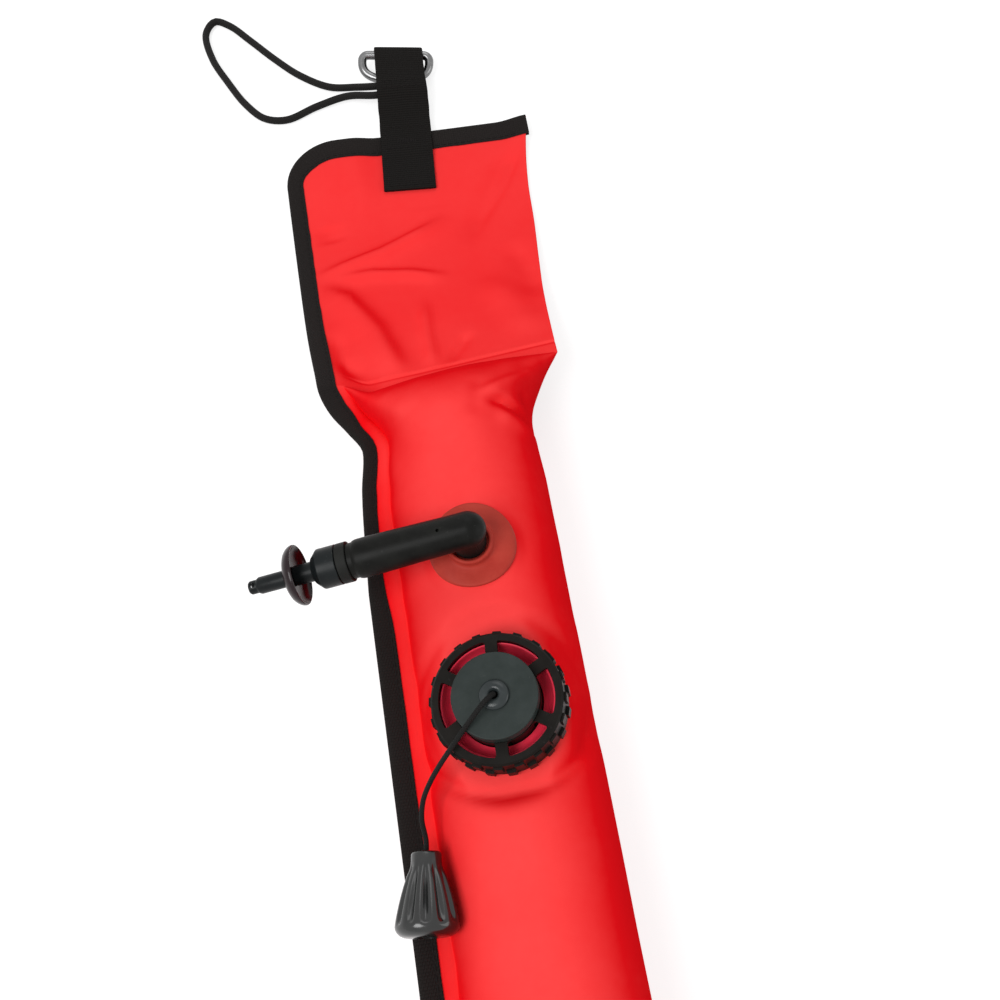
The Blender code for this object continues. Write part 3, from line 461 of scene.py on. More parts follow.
def finished(name, bm, where, material, body, node=None, slot=None, corner=35.0):
    """Writes a bmesh drawn in millimetres as a piece that rides on a body and may stand for a node."""
    bmesh.ops.recalc_face_normals(bm, faces=bm.faces)
    mesh = bpy.data.meshes.new(name)
    bm.to_mesh(mesh)
    bm.free()
    mesh.transform(Matrix.Scale(MM, 4) @ where)
    mesh.shade_smooth()
    mesh.set_sharp_from_angle(angle=math.radians(corner))
    piece = bpy.data.objects.new(name, mesh)
    bpy.context.collection.objects.link(piece)
    if material:
        mesh.materials.append(material)
    if body:
        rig.ride(piece, body)
    if node:
        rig.replaces(piece, node)
    if slot:
        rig.slot(piece, slot)
    return piece


def swept(sections, cyclic=False, around=None, along=None):
    """Bmesh skin extruded through closed sections of equal count, with a UV map in metres."""
    bm = bmesh.new()
    count = len(sections[0])
    first = [bm.verts.new(p) for p in sections[0]]
    edges = [bm.edges.new((first[i], first[(i + 1) % count])) for i in range(count)]
    where = {v: (0, i) for i, v in enumerate(first)}
    rings = [first]
    for row, section in enumerate(sections[1:], start=1):
        made = bmesh.ops.extrude_edge_only(bm, edges=edges)["geom"]
        edges = [g for g in made if isinstance(g, bmesh.types.BMEdge)]
        new = set(v for e in edges for v in e.verts)
        edges = [e for e in edges if e.verts[0] in new and e.verts[1] in new]
        following = {}
        for old, fresh in joined_pairs(new):
            following[old] = fresh
        ring = [following[v] for v in rings[-1]]
        for i, v in enumerate(ring):
            v.co = section[i]
            where[v] = (row, i)
        rings.append(ring)
    if cyclic:
        bmesh.ops.bridge_loops(bm, edges=ring_edges(rings[0]) + ring_edges(rings[-1]))
    else:
        for ring in (rings[0], rings[-1]):
            bm.faces.new(ring)
    if around is None:
        middle = sections[len(sections) // 2]
        around = [0.0]
        for i in range(count):
            around.append(around[-1] + (Vector(middle[(i + 1) % count]) - Vector(middle[i])).length)
    if along is None:
        along = [0.0]
        for a, b in zip(sections, sections[1:]):
            along.append(along[-1] + (Vector(b[0]) - Vector(a[0])).length)
    uv = bm.loops.layers.uv.new("cloth")
    rows = len(sections)
    for face in bm.faces:
        spots = [where[loop.vert] for loop in face.loops]
        wraps = max(s[1] for s in spots) - min(s[1] for s in spots) > count // 2
        turns = cyclic and max(s[0] for s in spots) - min(s[0] for s in spots) > rows // 2
        for loop, (row, i) in zip(face.loops, spots):
            u = around[count] if wraps and i == 0 else around[i]
            v = along[-1] + (along[1] - along[0]) if turns and row == 0 else along[row]
            loop[uv].uv = (u * MM, v * MM)
    return bm


def joined_pairs(new):
    """Pairs of an old and a new vertex that an extrusion joined."""
    for vert in new:
        for edge in vert.link_edges:
            other = edge.other_vert(vert)
            if other not in new:
                yield other, vert


def ring_edges(ring):
    """Edges between the neighbours of a closed ring of vertices."""
    found = []
    for a, b in zip(ring, ring[1:] + ring[:1]):
        found.append(next(e for e in a.link_edges if e.other_vert(a) == b))
    return found


def turned(profile, steps=72):
    """Bmesh solid of a closed (radius, height) outline spun about Z."""
    bm = bmesh.new()
    verts = [bm.verts.new((r, 0.0, h)) for r, h in profile]
    edges = [bm.edges.new((a, b)) for a, b in zip(verts, verts[1:])]
    if profile[0][0] > 0.0:
        edges.append(bm.edges.new((verts[-1], verts[0])))
    origin = (0, 0, 0)
    bmesh.ops.spin(bm, geom=verts + edges, cent=origin, axis=UP, angle=math.tau, steps=steps, use_merge=True)
    bmesh.ops.remove_doubles(bm, verts=bm.verts, dist=0.001)
    return bm


def softened(piece, width):
    """Rounds a piece's edges with a bevel of a width in millimetres."""
    bevel = piece.modifiers.new("rounded_edges", "BEVEL")
    bevel.width = width * MM
    bevel.segments = 2
    bevel.limit_method = "ANGLE"
    bevel.angle_limit = math.radians(30.0)
    bevel.harden_normals = True
    return piece


def applied(piece):
    """Applies a piece's modifiers to its mesh."""
    depsgraph = bpy.context.evaluated_depsgraph_get()
    mesh = bpy.data.meshes.new_from_object(piece.evaluated_get(depsgraph))
    old = piece.data
    piece.modifiers.clear()
    piece.data = mesh
    bpy.data.meshes.remove(old)
    return piece


def cut(piece, tools, operation="DIFFERENCE"):
    """Boolean of tool pieces on a piece, applied, and the tools removed."""
    for tool in tools:
        change = piece.modifiers.new("cut", "BOOLEAN")
        change.operation = operation
        change.solver = "EXACT"
        change.object = tool
    applied(piece)
    for tool in tools:
        bpy.data.objects.remove(tool, do_unlink=True)
    return piece


def tool_piece(bm, where):
    return finished("tool", bm, where, None, None)


def block(low, high, turn=0.0):
    """Box between two corners, turned about Z."""
    bm = bmesh.new()
    bmesh.ops.create_cube(bm, size=1.0)
    bmesh.ops.scale(bm, vec=[b - a for a, b in zip(low, high)], verts=bm.verts)
    bmesh.ops.translate(bm, vec=[(a + b) / 2 for a, b in zip(low, high)], verts=bm.verts)
    bmesh.ops.rotate(bm, verts=bm.verts, matrix=Matrix.Rotation(turn, 3, "Z"))
    return bm


def raise_prism(bm, outline, low, high):
    """Adds a prism to a bmesh, raised from an (x, y) outline."""
    face = bm.faces.new([bm.verts.new((x, y, low)) for x, y in outline])
    made = bmesh.ops.extrude_face_region(bm, geom=[face])["geom"]
    lifted = [g for g in made if isinstance(g, bmesh.types.BMVert)]
    bmesh.ops.translate(bm, vec=(0.0, 0.0, high - low), verts=lifted)


def at_angle(radius, angle):
    return radius * math.cos(angle), radius * math.sin(angle)


# Materials


def set_inputs(node, **values):
    """Sets a node's inputs by their names, with underscores for spaces."""
    for label, value in values.items():
        node.inputs[label.replace("_", " ")].default_value = value


def new_material(name, roughness=0.5, metallic=0.0):
    material = bpy.data.materials.new(name)
    material.use_nodes = True
    shader = material.node_tree.nodes["Principled BSDF"]
    set_inputs(shader, Roughness=roughness, Metallic=metallic)
    return material, material.node_tree, shader


def group(name, values, outputs):
    """Shader node group with a Vector input, number inputs with their values, and number outputs."""
    tree = bpy.data.node_groups.new(name, "ShaderNodeTree")
    tree.interface.new_socket("Vector", in_out="INPUT", socket_type="NodeSocketVector")
    for label, value in values.items():
        socket = tree.interface.new_socket(label, in_out="INPUT", socket_type="NodeSocketFloat")
        socket.default_value = value
    for label in outputs:
        tree.interface.new_socket(label, in_out="OUTPUT", socket_type="NodeSocketFloat")
    return tree, tree.nodes.new("NodeGroupInput"), tree.nodes.new("NodeGroupOutput")


def math_node(tree, operation, a, b=None, c=None, clamp=False):
    node = tree.nodes.new("ShaderNodeMath")
    node.operation = operation
    node.use_clamp = clamp
    for socket, value in zip(node.inputs, (a, b, c)):
        if value is None:
            continue
        if isinstance(value, bpy.types.NodeSocket):
            tree.links.new(value, socket)
        else:
            socket.default_value = value
    return node.outputs[0]


def noise_node(tree, vector, scale, detail=3.0, roughness=0.5):
    node = tree.nodes.new("ShaderNodeTexNoise")
    set_inputs(node, Scale=scale, Detail=detail, Roughness=roughness)
    tree.links.new(vector, node.inputs["Vector"])
    return node.outputs["Fac"]


def mix_colour(tree, factor, a, b):
    node = tree.nodes.new("ShaderNodeMix")
    node.data_type = "RGBA"
    for socket, value in ((node.inputs[0], factor), (node.inputs[6], a), (node.inputs[7], b)):
        if isinstance(value, bpy.types.NodeSocket):
            tree.links.new(value, socket)
        elif isinstance(value, tuple):
            socket.default_value = (*value, 1.0)
        else:
            socket.default_value = value
    return node.outputs[2]


def range_node(tree, value, low, high, to_low, to_high):
    node = tree.nodes.new("ShaderNodeMapRange")
    tree.links.new(value, node.inputs["Value"])
    set_inputs(node, From_Min=low, From_Max=high, To_Min=to_low, To_Max=to_high)
    return node.outputs["Result"]


def coordinates(tree, kind):
    return tree.nodes.new("ShaderNodeTexCoord").outputs[kind]


def separated(tree, vector):
    node = tree.nodes.new("ShaderNodeSeparateXYZ")
    tree.links.new(vector, node.inputs[0])
    return node.outputs


def placed_group(tree, shared, vector, **values):
    node = tree.nodes.new("ShaderNodeGroup")
    node.node_tree = shared
    tree.links.new(vector, node.inputs["Vector"])
    set_inputs(node, **values)
    return node


def bump_to(tree, shader, height, strength, distance):
    node = tree.nodes.new("ShaderNodeBump")
    set_inputs(node, Strength=strength, Distance=distance)
    tree.links.new(height, node.inputs["Height"])
    tree.links.new(node.outputs["Normal"], shader.inputs["Normal"])


def textile_group(name, values):
    """Group for yarns on a UV map in metres: its tree, its two ends, and the parts of the map."""
    tree, start, end = group(name, values, ("Height", "Tone"))
    return tree, start, end, separated(tree, start.outputs["Vector"])


def yarn_wave(tree, count):
    """Sine that crosses zero at each whole number of yarns."""
    return math_node(tree, "SINE", math_node(tree, "MULTIPLY", count, math.pi))


def add_fuzz(tree, start, end, height, fuzz, raised, fuzz_tone, height_tone):
    """Ends a textile's group: loose fibres raise its height, and its tone comes from both."""
    fibres = noise_node(tree, start.outputs["Vector"], *fuzz)
    # The tone rises with the yarns' height, which the tapes, straps and cords use as painted light on the crowns and
    # painted shade in the hollows, and with the fibres as random tone
    tone = math_node(tree, "MULTIPLY", height, height_tone)
    tree.links.new(math_node(tree, "MULTIPLY_ADD", fibres, raised, height), end.inputs["Height"])
    tree.links.new(math_node(tree, "MULTIPLY_ADD", fibres, fuzz_tone, tone), end.inputs["Tone"])


def woven_group():
    """Plain weave of alternating yarns."""
    tree, start, end, parts = textile_group("plain_weave", {"Across Pitch": 0.001, "Along Pitch": 0.001})
    across = yarn_wave(tree, math_node(tree, "DIVIDE", parts["X"], start.outputs["Across Pitch"]))
    along = yarn_wave(tree, math_node(tree, "DIVIDE", parts["Y"], start.outputs["Along Pitch"]))
    over = math_node(tree, "GREATER_THAN", math_node(tree, "MULTIPLY", across, along), 0.0)
    under = math_node(tree, "SUBTRACT", 1.0, over)
    warp = math_node(tree, "MULTIPLY", math_node(tree, "ABSOLUTE", across), over)
    weft = math_node(tree, "MULTIPLY", math_node(tree, "ABSOLUTE", along), under)
    height = math_node(tree, "ADD", warp, weft)
    add_fuzz(tree, start, end, height, (900.0, 4.0, 0.7), 0.4, 0.5, 0.5)
    return tree


def rib_group():
    """Ribs across a strap, with uneven yarns."""
    tree, start, end, parts = textile_group("strap_ribs", {"Rib Pitch": 0.0012, "Yarn Pitch": 0.0009})
    drift = noise_node(tree, start.outputs["Vector"], 55.0, 2.0)
    moved = math_node(tree, "MULTIPLY_ADD", drift, 0.0011, parts["Y"])
    rib = yarn_wave(tree, math_node(tree, "DIVIDE", moved, start.outputs["Rib Pitch"]))
    yarn = yarn_wave(tree, math_node(tree, "DIVIDE", parts["X"], start.outputs["Yarn Pitch"]))
    rib = math_node(tree, "ABSOLUTE", rib)
    yarn = math_node(tree, "ABSOLUTE", yarn)
    height = math_node(tree, "MULTIPLY_ADD", yarn, 0.3, rib)
    add_fuzz(tree, start, end, height, (1400.0, 3.0, 0.7), 0.35, 0.4, 0.45)
    return tree


def braid_group():
    """Diagonal strands of a braided cord's cover."""
    values = {"Girth": 0.0113, "Carriers": 8.0, "Lay": 0.009}
    tree, start, end, parts = textile_group("braided_cover", values)
    turn = math_node(tree, "DIVIDE", parts["X"], start.outputs["Girth"])
    climb = math_node(tree, "DIVIDE", parts["Y"], start.outputs["Lay"])
    strands = []
    for sign in (1.0, -1.0):
        phase = math_node(tree, "MULTIPLY_ADD", climb, sign, turn)
        swing = yarn_wave(tree, math_node(tree, "MULTIPLY", phase, start.outputs["Carriers"]))
        strands.append(math_node(tree, "ABSOLUTE", swing))
    height = math_node(tree, "MULTIPLY", *strands)
    add_fuzz(tree, start, end, height, (1800.0, 2.0, 0.6), 0.3, 0.4, 0.4)
    return tree


def grain_group():
    """Moulded surface: fine spark grain, soft flow marks and a little dust."""
    tree, start, end = group("moulded_grain", {"Scale": 1.0}, ("Height", "Marks", "Dust"))
    scaled = tree.nodes.new("ShaderNodeVectorMath")
    scaled.operation = "SCALE"
    tree.links.new(start.outputs["Vector"], scaled.inputs[0])
    tree.links.new(start.outputs["Scale"], scaled.inputs["Scale"])
    spot = scaled.outputs[0]
    specks = noise_node(tree, spot, 700.0, 2.0, 0.8)
    tree.links.new(noise_node(tree, spot, 2600.0, 3.0, 0.6), end.inputs["Height"])
    tree.links.new(noise_node(tree, spot, 120.0, 4.0, 0.6), end.inputs["Marks"])
    tree.links.new(range_node(tree, specks, 0.66, 0.8, 0.0, 1.0), end.inputs["Dust"])
    return tree


WEAVE = woven_group()
RIBS = rib_group()
BRAID = braid_group()
GRAIN = grain_group()
WOVEN_FINISH = {"Roughness": 0.78, "Specular_IOR_Level": 0.1, "Sheen_Weight": 0.02, "Sheen_Roughness": 0.4}
RIBBED_FINISH = {"Roughness": 0.7, "Specular_IOR_Level": 0.06}
BRAIDED_FINISH = {"Roughness": 0.62, "Specular_IOR_Level": 0.12}
DUST_COLOUR = (0.35, 0.34, 0.32)


def coated_cloth():
    """Red nylon with a smooth coating: a faint weave, and painted light, a paler tone where it faces up, with painted
    shade on the fin beside the tube.
    """
    material, tree, shader = new_material("red_coated_cloth")
    objects = coordinates(tree, "Object")
    weave = placed_group(tree, WEAVE, coordinates(tree, "UV"), Across_Pitch=0.00045, Along_Pitch=0.00045)
    broad = math_node(tree, "MULTIPLY", noise_node(tree, objects, 26.0, 4.0, 0.55), 0.75)
    mixed = math_node(tree, "MULTIPLY_ADD", noise_node(tree, objects, 240.0, 3.0, 0.6), 0.25, broad)
    facing = tree.nodes.new("ShaderNodeVectorMath")
    facing.operation = "DOT_PRODUCT"
    tree.links.new(coordinates(tree, "Normal"), facing.inputs[0])
    facing.inputs[1].default_value = PAINTED_LIGHT_SIDE
    spot = separated(tree, objects)
    # Less painted light on the flap than on the tube
    on_flap = range_node(tree, spot["Y"], 0.285, 0.33, 1.0, 0.66)
    # Painted light: paler where the cloth's normal turns toward the light side
    painted_light = range_node(tree, facing.outputs["Value"], 0.5, 0.96, 0.0, 0.9)
    # Painted shade on the fin beside the tube, short of the weld: the painted light is kept off it
    off_fin = range_node(tree, spot["X"], -0.026, -0.016, 0.0, 1.0)
    past_weld = range_node(tree, spot["Y"], 0.272, 0.3, 0.0, 1.0)
    painted_light = math_node(tree, "MULTIPLY", painted_light, math_node(tree, "MAXIMUM", off_fin, past_weld))
    patchy = range_node(tree, mixed, 0.3, 0.7, -0.12, 0.12)
    painted_light = math_node(tree, "MULTIPLY", math_node(tree, "ADD", painted_light, patchy), on_flap, clamp=True)
    # Painted shade and painted light: the shaded red, and the paler red where the cloth faces the light
    colour = mix_colour(tree, painted_light, (0.89, 0.007, 0.0115), (0.98, 0.068, 0.066))
    threads = math_node(tree, "MULTIPLY", weave.outputs["Tone"], 0.12)
    colour = mix_colour(tree, threads, colour, (0.82, 0.003, 0.006))
    tree.links.new(colour, shader.inputs["Base Color"])
    tree.links.new(range_node(tree, mixed, 0.3, 0.7, 0.42, 0.5), shader.inputs["Roughness"])
    set_inputs(shader, Specular_IOR_Level=0.0)
    bump_to(tree, shader, weave.outputs["Height"], 0.12, 0.00006)
    return material


def textile(name, shared, dark, light, finish, relief, **values):
    """Tape, strap or cord cover whose colour and relief come from a shared group of yarns: its colour is painted light
    on the yarns' crowns and painted shade in the hollows between them, with random tone from loose fibres.
    """
    material, tree, shader = new_material(name)
    yarns = placed_group(tree, shared, coordinates(tree, "UV"), **values)
    # Painted shade: the dark colour fills the hollows between the yarns, and the light colour their crowns
    tree.links.new(mix_colour(tree, yarns.outputs["Tone"], dark, light), shader.inputs["Base Color"])
    set_inputs(shader, **finish)
    bump_to(tree, shader, yarns.outputs["Height"], *relief)
    return material


def moulded(name, colour, worn, roughness, grain=0.00002, dust=0.05, gloss=0.08):
    """Plastic or rubber with grain, flow marks and specks of dust."""
    material, tree, shader = new_material(name)
    marks = placed_group(tree, GRAIN, coordinates(tree, "Object"), Scale=1.0)
    factor = range_node(tree, marks.outputs["Marks"], 0.35, 0.7, 0.0, 1.0)
    base = mix_colour(tree, factor, colour, worn)
    dusty = math_node(tree, "MULTIPLY", marks.outputs["Dust"], dust)
    tree.links.new(mix_colour(tree, dusty, base, DUST_COLOUR), shader.inputs["Base Color"])
    rough = range_node(tree, marks.outputs["Marks"], 0.3, 0.7, roughness - 0.05, roughness + 0.08)
    tree.links.new(rough, shader.inputs["Roughness"])
    set_inputs(shader, Specular_IOR_Level=gloss)
    bump_to(tree, shader, marks.outputs["Height"], 0.5, grain)
    return material


def polished_steel(name, roughness):
    material, tree, shader = new_material(name, roughness, 1.0)
    marks = placed_group(tree, GRAIN, coordinates(tree, "Object"), Scale=2.0)
    colour = mix_colour(tree, marks.outputs["Marks"], (0.13, 0.13, 0.131), (0.25, 0.25, 0.252))
    tree.links.new(colour, shader.inputs["Base Color"])
    rough = range_node(tree, marks.outputs["Marks"], 0.3, 0.7, roughness, roughness + 0.14)
    tree.links.new(rough, shader.inputs["Roughness"])
    bump_to(tree, shader, marks.outputs["Height"], 0.2, 0.00001)
    return material


cloth = coated_cloth()
tape = textile(
    "black_binding_tape", WEAVE, (0.006, 0.005, 0.0045), (0.0175, 0.014, 0.013), WOVEN_FINISH, (0.7, 0.00022),
    Across_Pitch=0.0006, Along_Pitch=0.0011,
)
thread = textile(
    "black_thread", WEAVE, (0.006, 0.005, 0.005), (0.022, 0.019, 0.018), WOVEN_FINISH, (0.7, 0.00005),
    Across_Pitch=0.0003, Along_Pitch=0.0003,
)
webbing = textile(
    "black_ribbed_webbing", RIBS, (0.0015, 0.0013, 0.0012), (0.013, 0.0115, 0.0105), RIBBED_FINISH,
    (0.8, 0.0003), Rib_Pitch=0.00125, Yarn_Pitch=0.0009,
)
elastic_cover = textile(
    "elastic_cord_cover", BRAID, (0.004, 0.004, 0.004), (0.021, 0.019, 0.018), BRAIDED_FINISH, (0.8, 0.00022),
    Girth=math.pi * BUNGEE_DIAMETER * MM, Carriers=8.0, Lay=0.010,
)
pull_cord_cover = textile(
    "pull_cord_cover", BRAID, (0.004, 0.004, 0.004), (0.018, 0.017, 0.016), BRAIDED_FINISH, (0.8, 0.00022),
    Girth=math.pi * PULL_CORD_DIAMETER * MM, Carriers=6.0, Lay=0.006,
)
black_plastic = moulded("black_moulded_plastic", (0.008, 0.007, 0.006), (0.012, 0.011, 0.0095), 0.4)
cap_plastic = moulded("black_cap_plastic", (0.0062, 0.0052, 0.0042), (0.0105, 0.009, 0.0076), 0.42)
inflator_plastic = moulded("black_inflator_plastic", (0.0065, 0.0065, 0.006), (0.0115, 0.0118, 0.0105), 0.4)
end_plastic = moulded(
    "black_end_cap_plastic", (0.0063, 0.0078, 0.0084), (0.0105, 0.013, 0.0137), 0.34, gloss=0.14
)
washer_plastic = moulded("black_washer_plastic", (0.009, 0.0095, 0.0088), (0.018, 0.0185, 0.017), 0.5)
disc_plastic = moulded(
    "gloss_disc_plastic", (0.011, 0.0045, 0.006), (0.018, 0.0068, 0.0095), 0.22, 0.00001, gloss=0.25
)
hub_plastic = moulded("dark_grey_plastic", (0.022, 0.029, 0.027), (0.032, 0.04, 0.038), 0.44, gloss=0.12)
guide_plastic = moulded("grey_eyelet_plastic", (0.022, 0.028, 0.029), (0.04, 0.048, 0.048), 0.22, gloss=0.25)
seal_rubber = moulded("black_seal_rubber", (0.012, 0.012, 0.012), (0.02, 0.02, 0.02), 0.62, 0.00003)
knob_rubber = moulded(
    "gloss_knob_rubber", (0.006, 0.0064, 0.006), (0.011, 0.0115, 0.011), 0.18, 0.00001, 0.03, gloss=0.6
)
patch_rubber = moulded(
    "salmon_patch_rubber", (0.41, 0.034, 0.023), (0.47, 0.049, 0.033), 0.5, 0.00002, 0.03, gloss=0.12
)
crimson_rubber = moulded(
    "crimson_ring_rubber", (0.86, 0.03, 0.07), (0.93, 0.045, 0.09), 0.42, 0.00002, 0.03, gloss=0.2
)
ring_steel = polished_steel("polished_ring_steel", 0.2)
spring_wire = polished_steel("spring_wire", 0.28)


# Cloth shape


def distance_from_weld(y):
    """Distance into the tube from the nearer weld; negative on the flap and the far end's edge."""
    return min(WELD_Y - y, y - FAR_WELD_Y)


def tube_section(y):
    """Half-widths to the right and left, half-height and centre height of the tube at y."""
    depth = max(distance_from_weld(y), 0.0)
    swell = (1.0 - (1.0 - min(depth / SWELL_LENGTH, 1.0)) ** 2) ** SWELL_POWER
    neck = bump((depth - NECK_CENTRE) / NECK_REACH)
    right = WELD_RIGHT - (WELD_RIGHT - TUBE_RADIUS) * swell**2 - neck
    left = WELD_LEFT - (WELD_LEFT - TUBE_RADIUS) * swell**2 - NECK_SEAM_DEPTH * neck
    return right, left, TUBE_RADIUS * swell, WELD_Z + (TUBE_AXIS_Z - WELD_Z) * ease(depth / SWELL_LENGTH)


def seam_lift(y):
    """Height of the seam above the tube's middle."""
    return SEAM_LIFT * ease(distance_from_weld(y) / SEAM_RISE)


def fold(x, y, line, width, height, lop=0.0):
    """Height at (x, y) of a soft fold along a line of points, fading at its ends; lop steepens one side."""
    best = None
    done = 0.0
    total = sum(math.dist(a, b) for a, b in zip(line, line[1:]))
    for a, b in zip(line, line[1:]):
        span = math.dist(a, b)
        ux, uy = (b[0] - a[0]) / span, (b[1] - a[1]) / span
        along = min(max((x - a[0]) * ux + (y - a[1]) * uy, 0.0), span)
        px, py = a[0] + ux * along, a[1] + uy * along
        gap = math.dist((x, y), (px, py))
        if best is None or gap < best[0]:
            side = 1.0 if ux * (y - py) - uy * (x - px) >= 0 else -1.0
            best = (gap, side, (done + along) / total)
        done += span
    gap, side, part = best
    if gap > 3.5 * width:
        return 0.0
    fade = ease(part / 0.3) * ease((1.0 - part) / 0.3)
    reach = width * (1.0 - lop * side)
    return height * fade * math.exp(-((gap / reach) ** 2))


# Folds of the flap: line of (x, y) points, half-width, height, lean to one side
FLAP_FOLDS = (
    (((-58.0, 361.0), (-38.0, 369.0), (-20.0, 375.0), (0.0, 384.5), (16.0, 394.0)), 4.0, 3.0, 0.4),
    (((-46.0, 361.0), (-26.0, 362.0), (-8.0, 359.0), (12.0, 352.0)), 3.3, 2.2, 0.35),
    (((-58.0, 362.0), (-40.0, 347.0), (-28.0, 327.0), (-21.0, 306.0), (-19.0, 292.0)), 6.4, 3.9, 0.25),
    (((-4.5, 343.0), (-5.5, 322.0), (-5.0, 296.0)), 2.8, 1.7, 0.1),
    (((14.0, 318.0), (6.0, 308.0), (1.0, 300.0)), 2.6, -1.5, 0.0),
    (((-50.0, 330.0), (-46.0, 312.0), (-36.0, 296.0)), 6.5, -2.8, 0.0),
    (((58.0, 434.0), (42.0, 407.0), (28.0, 386.0), (20.0, 370.0)), 5.6, -2.2, 0.35),
    (((-44.0, 396.0), (-42.0, 384.0)), 5.5, -1.3, 0.0),
    (((24.0, 352.0), (36.0, 330.0), (40.0, 306.0)), 8.0, 1.8, 0.0),
    (((40.0, 372.0), (46.0, 350.0), (47.0, 330.0)), 6.5, -1.5, 0.0),
)


def flap_relief(x, y):
    """Folds of the flap, which die out at its sewn end, its weld and its bound edge."""
    if y < WELD_Y - 4.0:
        return 0.0
    calm = ramp(y - WELD_Y, *CALM_BY_WELD) * ramp(left_edge(y) + x, *CALM_BY_SEAM)
    calm *= ramp(FLAP_END_Y - y, *CALM_BY_END)
    if y >= TAB_CALM_Y:
        calm *= ramp(max(abs(x - TAB_FOOT.x) - WEBBING_WIDTH / 2, 0.0), *CALM_BY_TAB)
    if calm <= 0.0:
        return 0.0
    height = sum(fold(x, y, *shape) for shape in FLAP_FOLDS)
    uneven, size = FLAP_UNEVEN
    return calm * (height + uneven * noise.noise(Vector((x, y, 0.0)) / size))


def fabric_z(x, y):
    """Height of the middle of the doubled fabric: the flap, the seam's fin and the far end's edge."""
    if y <= WELD_Y:
        height, size = SEAM_UNEVEN
        waver = height * noise.noise(Vector((0.0, y / size, 4.0))) * ease(distance_from_weld(y) / 30.0)
        return tube_section(y)[3] + seam_lift(y) + waver * ramp(abs(x), *FIN_ROOT)
    out = min((y - WELD_Y) / FLAP_FALL, 1.0)
    height = FLAP_REST_Z + (WELD_Z - FLAP_REST_Z) * (1.0 - out) ** FLAP_FALL_POWER
    over_fin = clamped((-x - WELD_LEFT + FIN_NARROWING) / FIN_WIDTH)
    lift = FLAP_LIFT * ramp(-x, FLAP_LIFT_START, FLAP_LIFT_BLEND) * (1.0 - over_fin)
    curl = CORNER_CURL * ramp(x, *CURL_ACROSS) * ramp(y, *CURL_ALONG)
    return max(height + lift * ramp(y, *LIFT_ALONG) + curl + flap_relief(x, y), FABRIC_LOWEST)


def fabric_normal(x, y):
    """Upward normal of the doubled fabric."""
    step = 0.5
    slope_x = (fabric_z(x + step, y) - fabric_z(x - step, y)) / (2 * step)
    slope_y = (fabric_z(x, y + step) - fabric_z(x, y - step)) / (2 * step)
    return Vector((-slope_x, -slope_y, 1.0)).normalized()


def corner_inset(y, radius):
    """How far a rounded corner draws the seam-side edge in at y."""
    end = FLAP_END_Y if y > 0 else FAR_END_Y
    past = radius - abs(end - y)
    return radius - math.sqrt(radius**2 - past**2) if past > 0 else 0.0


def left_edge(y):
    past_weld = FLAP_END_Y - WELD_Y if y > 0 else 4.0
    edge = curve_value(LEFT_EDGE, max(distance_from_weld(y), -past_weld))
    return edge - corner_inset(y, FLAP_CORNER if y > 0 else FAR_CORNER)


def right_edge(y):
    return curve_value(RIGHT_EDGE, distance_from_weld(y)) - (corner_inset(y, FAR_CORNER) if y < 0 else 0.0)


def press(point, foot, normal, flat_above, flat_below, blend_above, blend_below):
    """Draws a point of the fabric onto a fitting's plane: flat near the fitting, then blended away."""
    height = (point - foot).dot(normal)
    if height < PRESS_DEPTH:
        return point
    radius = ((point - foot) - normal * height).length
    flat, blend = (flat_above, blend_above) if height > 0.0 else (flat_below, blend_below)
    return point - normal * ((1.0 - ramp(radius, flat, blend)) * height)


VALVE_PLANE = (VALVE_FOOT, Vector(lean(VALVE_LEAN).col[2][:3]))
PATCH_PLANE = (NECK_FOOT, Vector(lean(PATCH_LEAN).col[2][:3]))


def pressed(point):
    return press(press(point, *VALVE_PLANE, 24.0, 20.0, 14.0, 10.0), *PATCH_PLANE, 10.0, 10.0, 10.0, 10.0)


def seam_angle(y):
    """Angle round the tube, from its right side over the top, at which the seam's fin leaves it."""
    half = tube_section(y)[2]
    return 180.0 - math.degrees(math.asin(seam_lift(y) / half)) if half > 0 else 180.0


# Creases of the tube's upper side: line of (x, y) points, half-width, height, lean to one side
TUBE_FOLDS = (
    (((6.0, 262.0), (14.0, 267.0), (26.0, 274.0), (40.0, 284.0)), 3.4, 1.9, 0.3),
    (((10.0, 262.5), (18.0, 261.0), (26.0, 257.5), (35.0, 252.0)), 2.4, -2.6, 0.3),
    (((26.0, 268.0), (30.0, 262.0), (35.0, 253.0)), 2.2, -1.8, 0.0),
    (((14.0, 255.0), (22.0, 252.0), (31.0, 247.0)), 3.4, 1.2, 0.0),
    (((4.0, 252.0), (9.0, 262.0), (11.0, 276.0)), 4.0, -0.9, 0.0),
    (((-26.0, 232.0), (-30.0, 250.0), (-36.0, 268.0), (-42.0, 286.0)), 3.4, 1.5, 0.0),
    (((-31.0, 240.0), (-35.0, 258.0), (-42.0, 276.0)), 2.6, -1.2, 0.0),
    (((-20.0, 262.0), (-26.0, 274.0), (-30.0, 288.0)), 5.0, 1.0, 0.0),
    (((31.0, 168.0), (34.0, 186.0), (30.0, 205.0)), 8.0, -0.7, 0.0),
    (((22.0, 120.0), (29.0, 131.0), (33.0, 145.0)), 4.0, -1.3, 0.2),
)

# Creases round the dump valve, each on an arc about its middle direction, in degrees:
# direction, half-arc, fade, radius, growth of the radius per degree, half-width, height
VALVE_DENTS = (
    (-88.0, 58.0, 26.0, 29.6, 0.05, 2.5, -2.0),
    (88.0, 48.0, 34.0, 33.0, 0.0, 2.8, -0.8),
)
VALVE_DENTS_REACH = 60.0


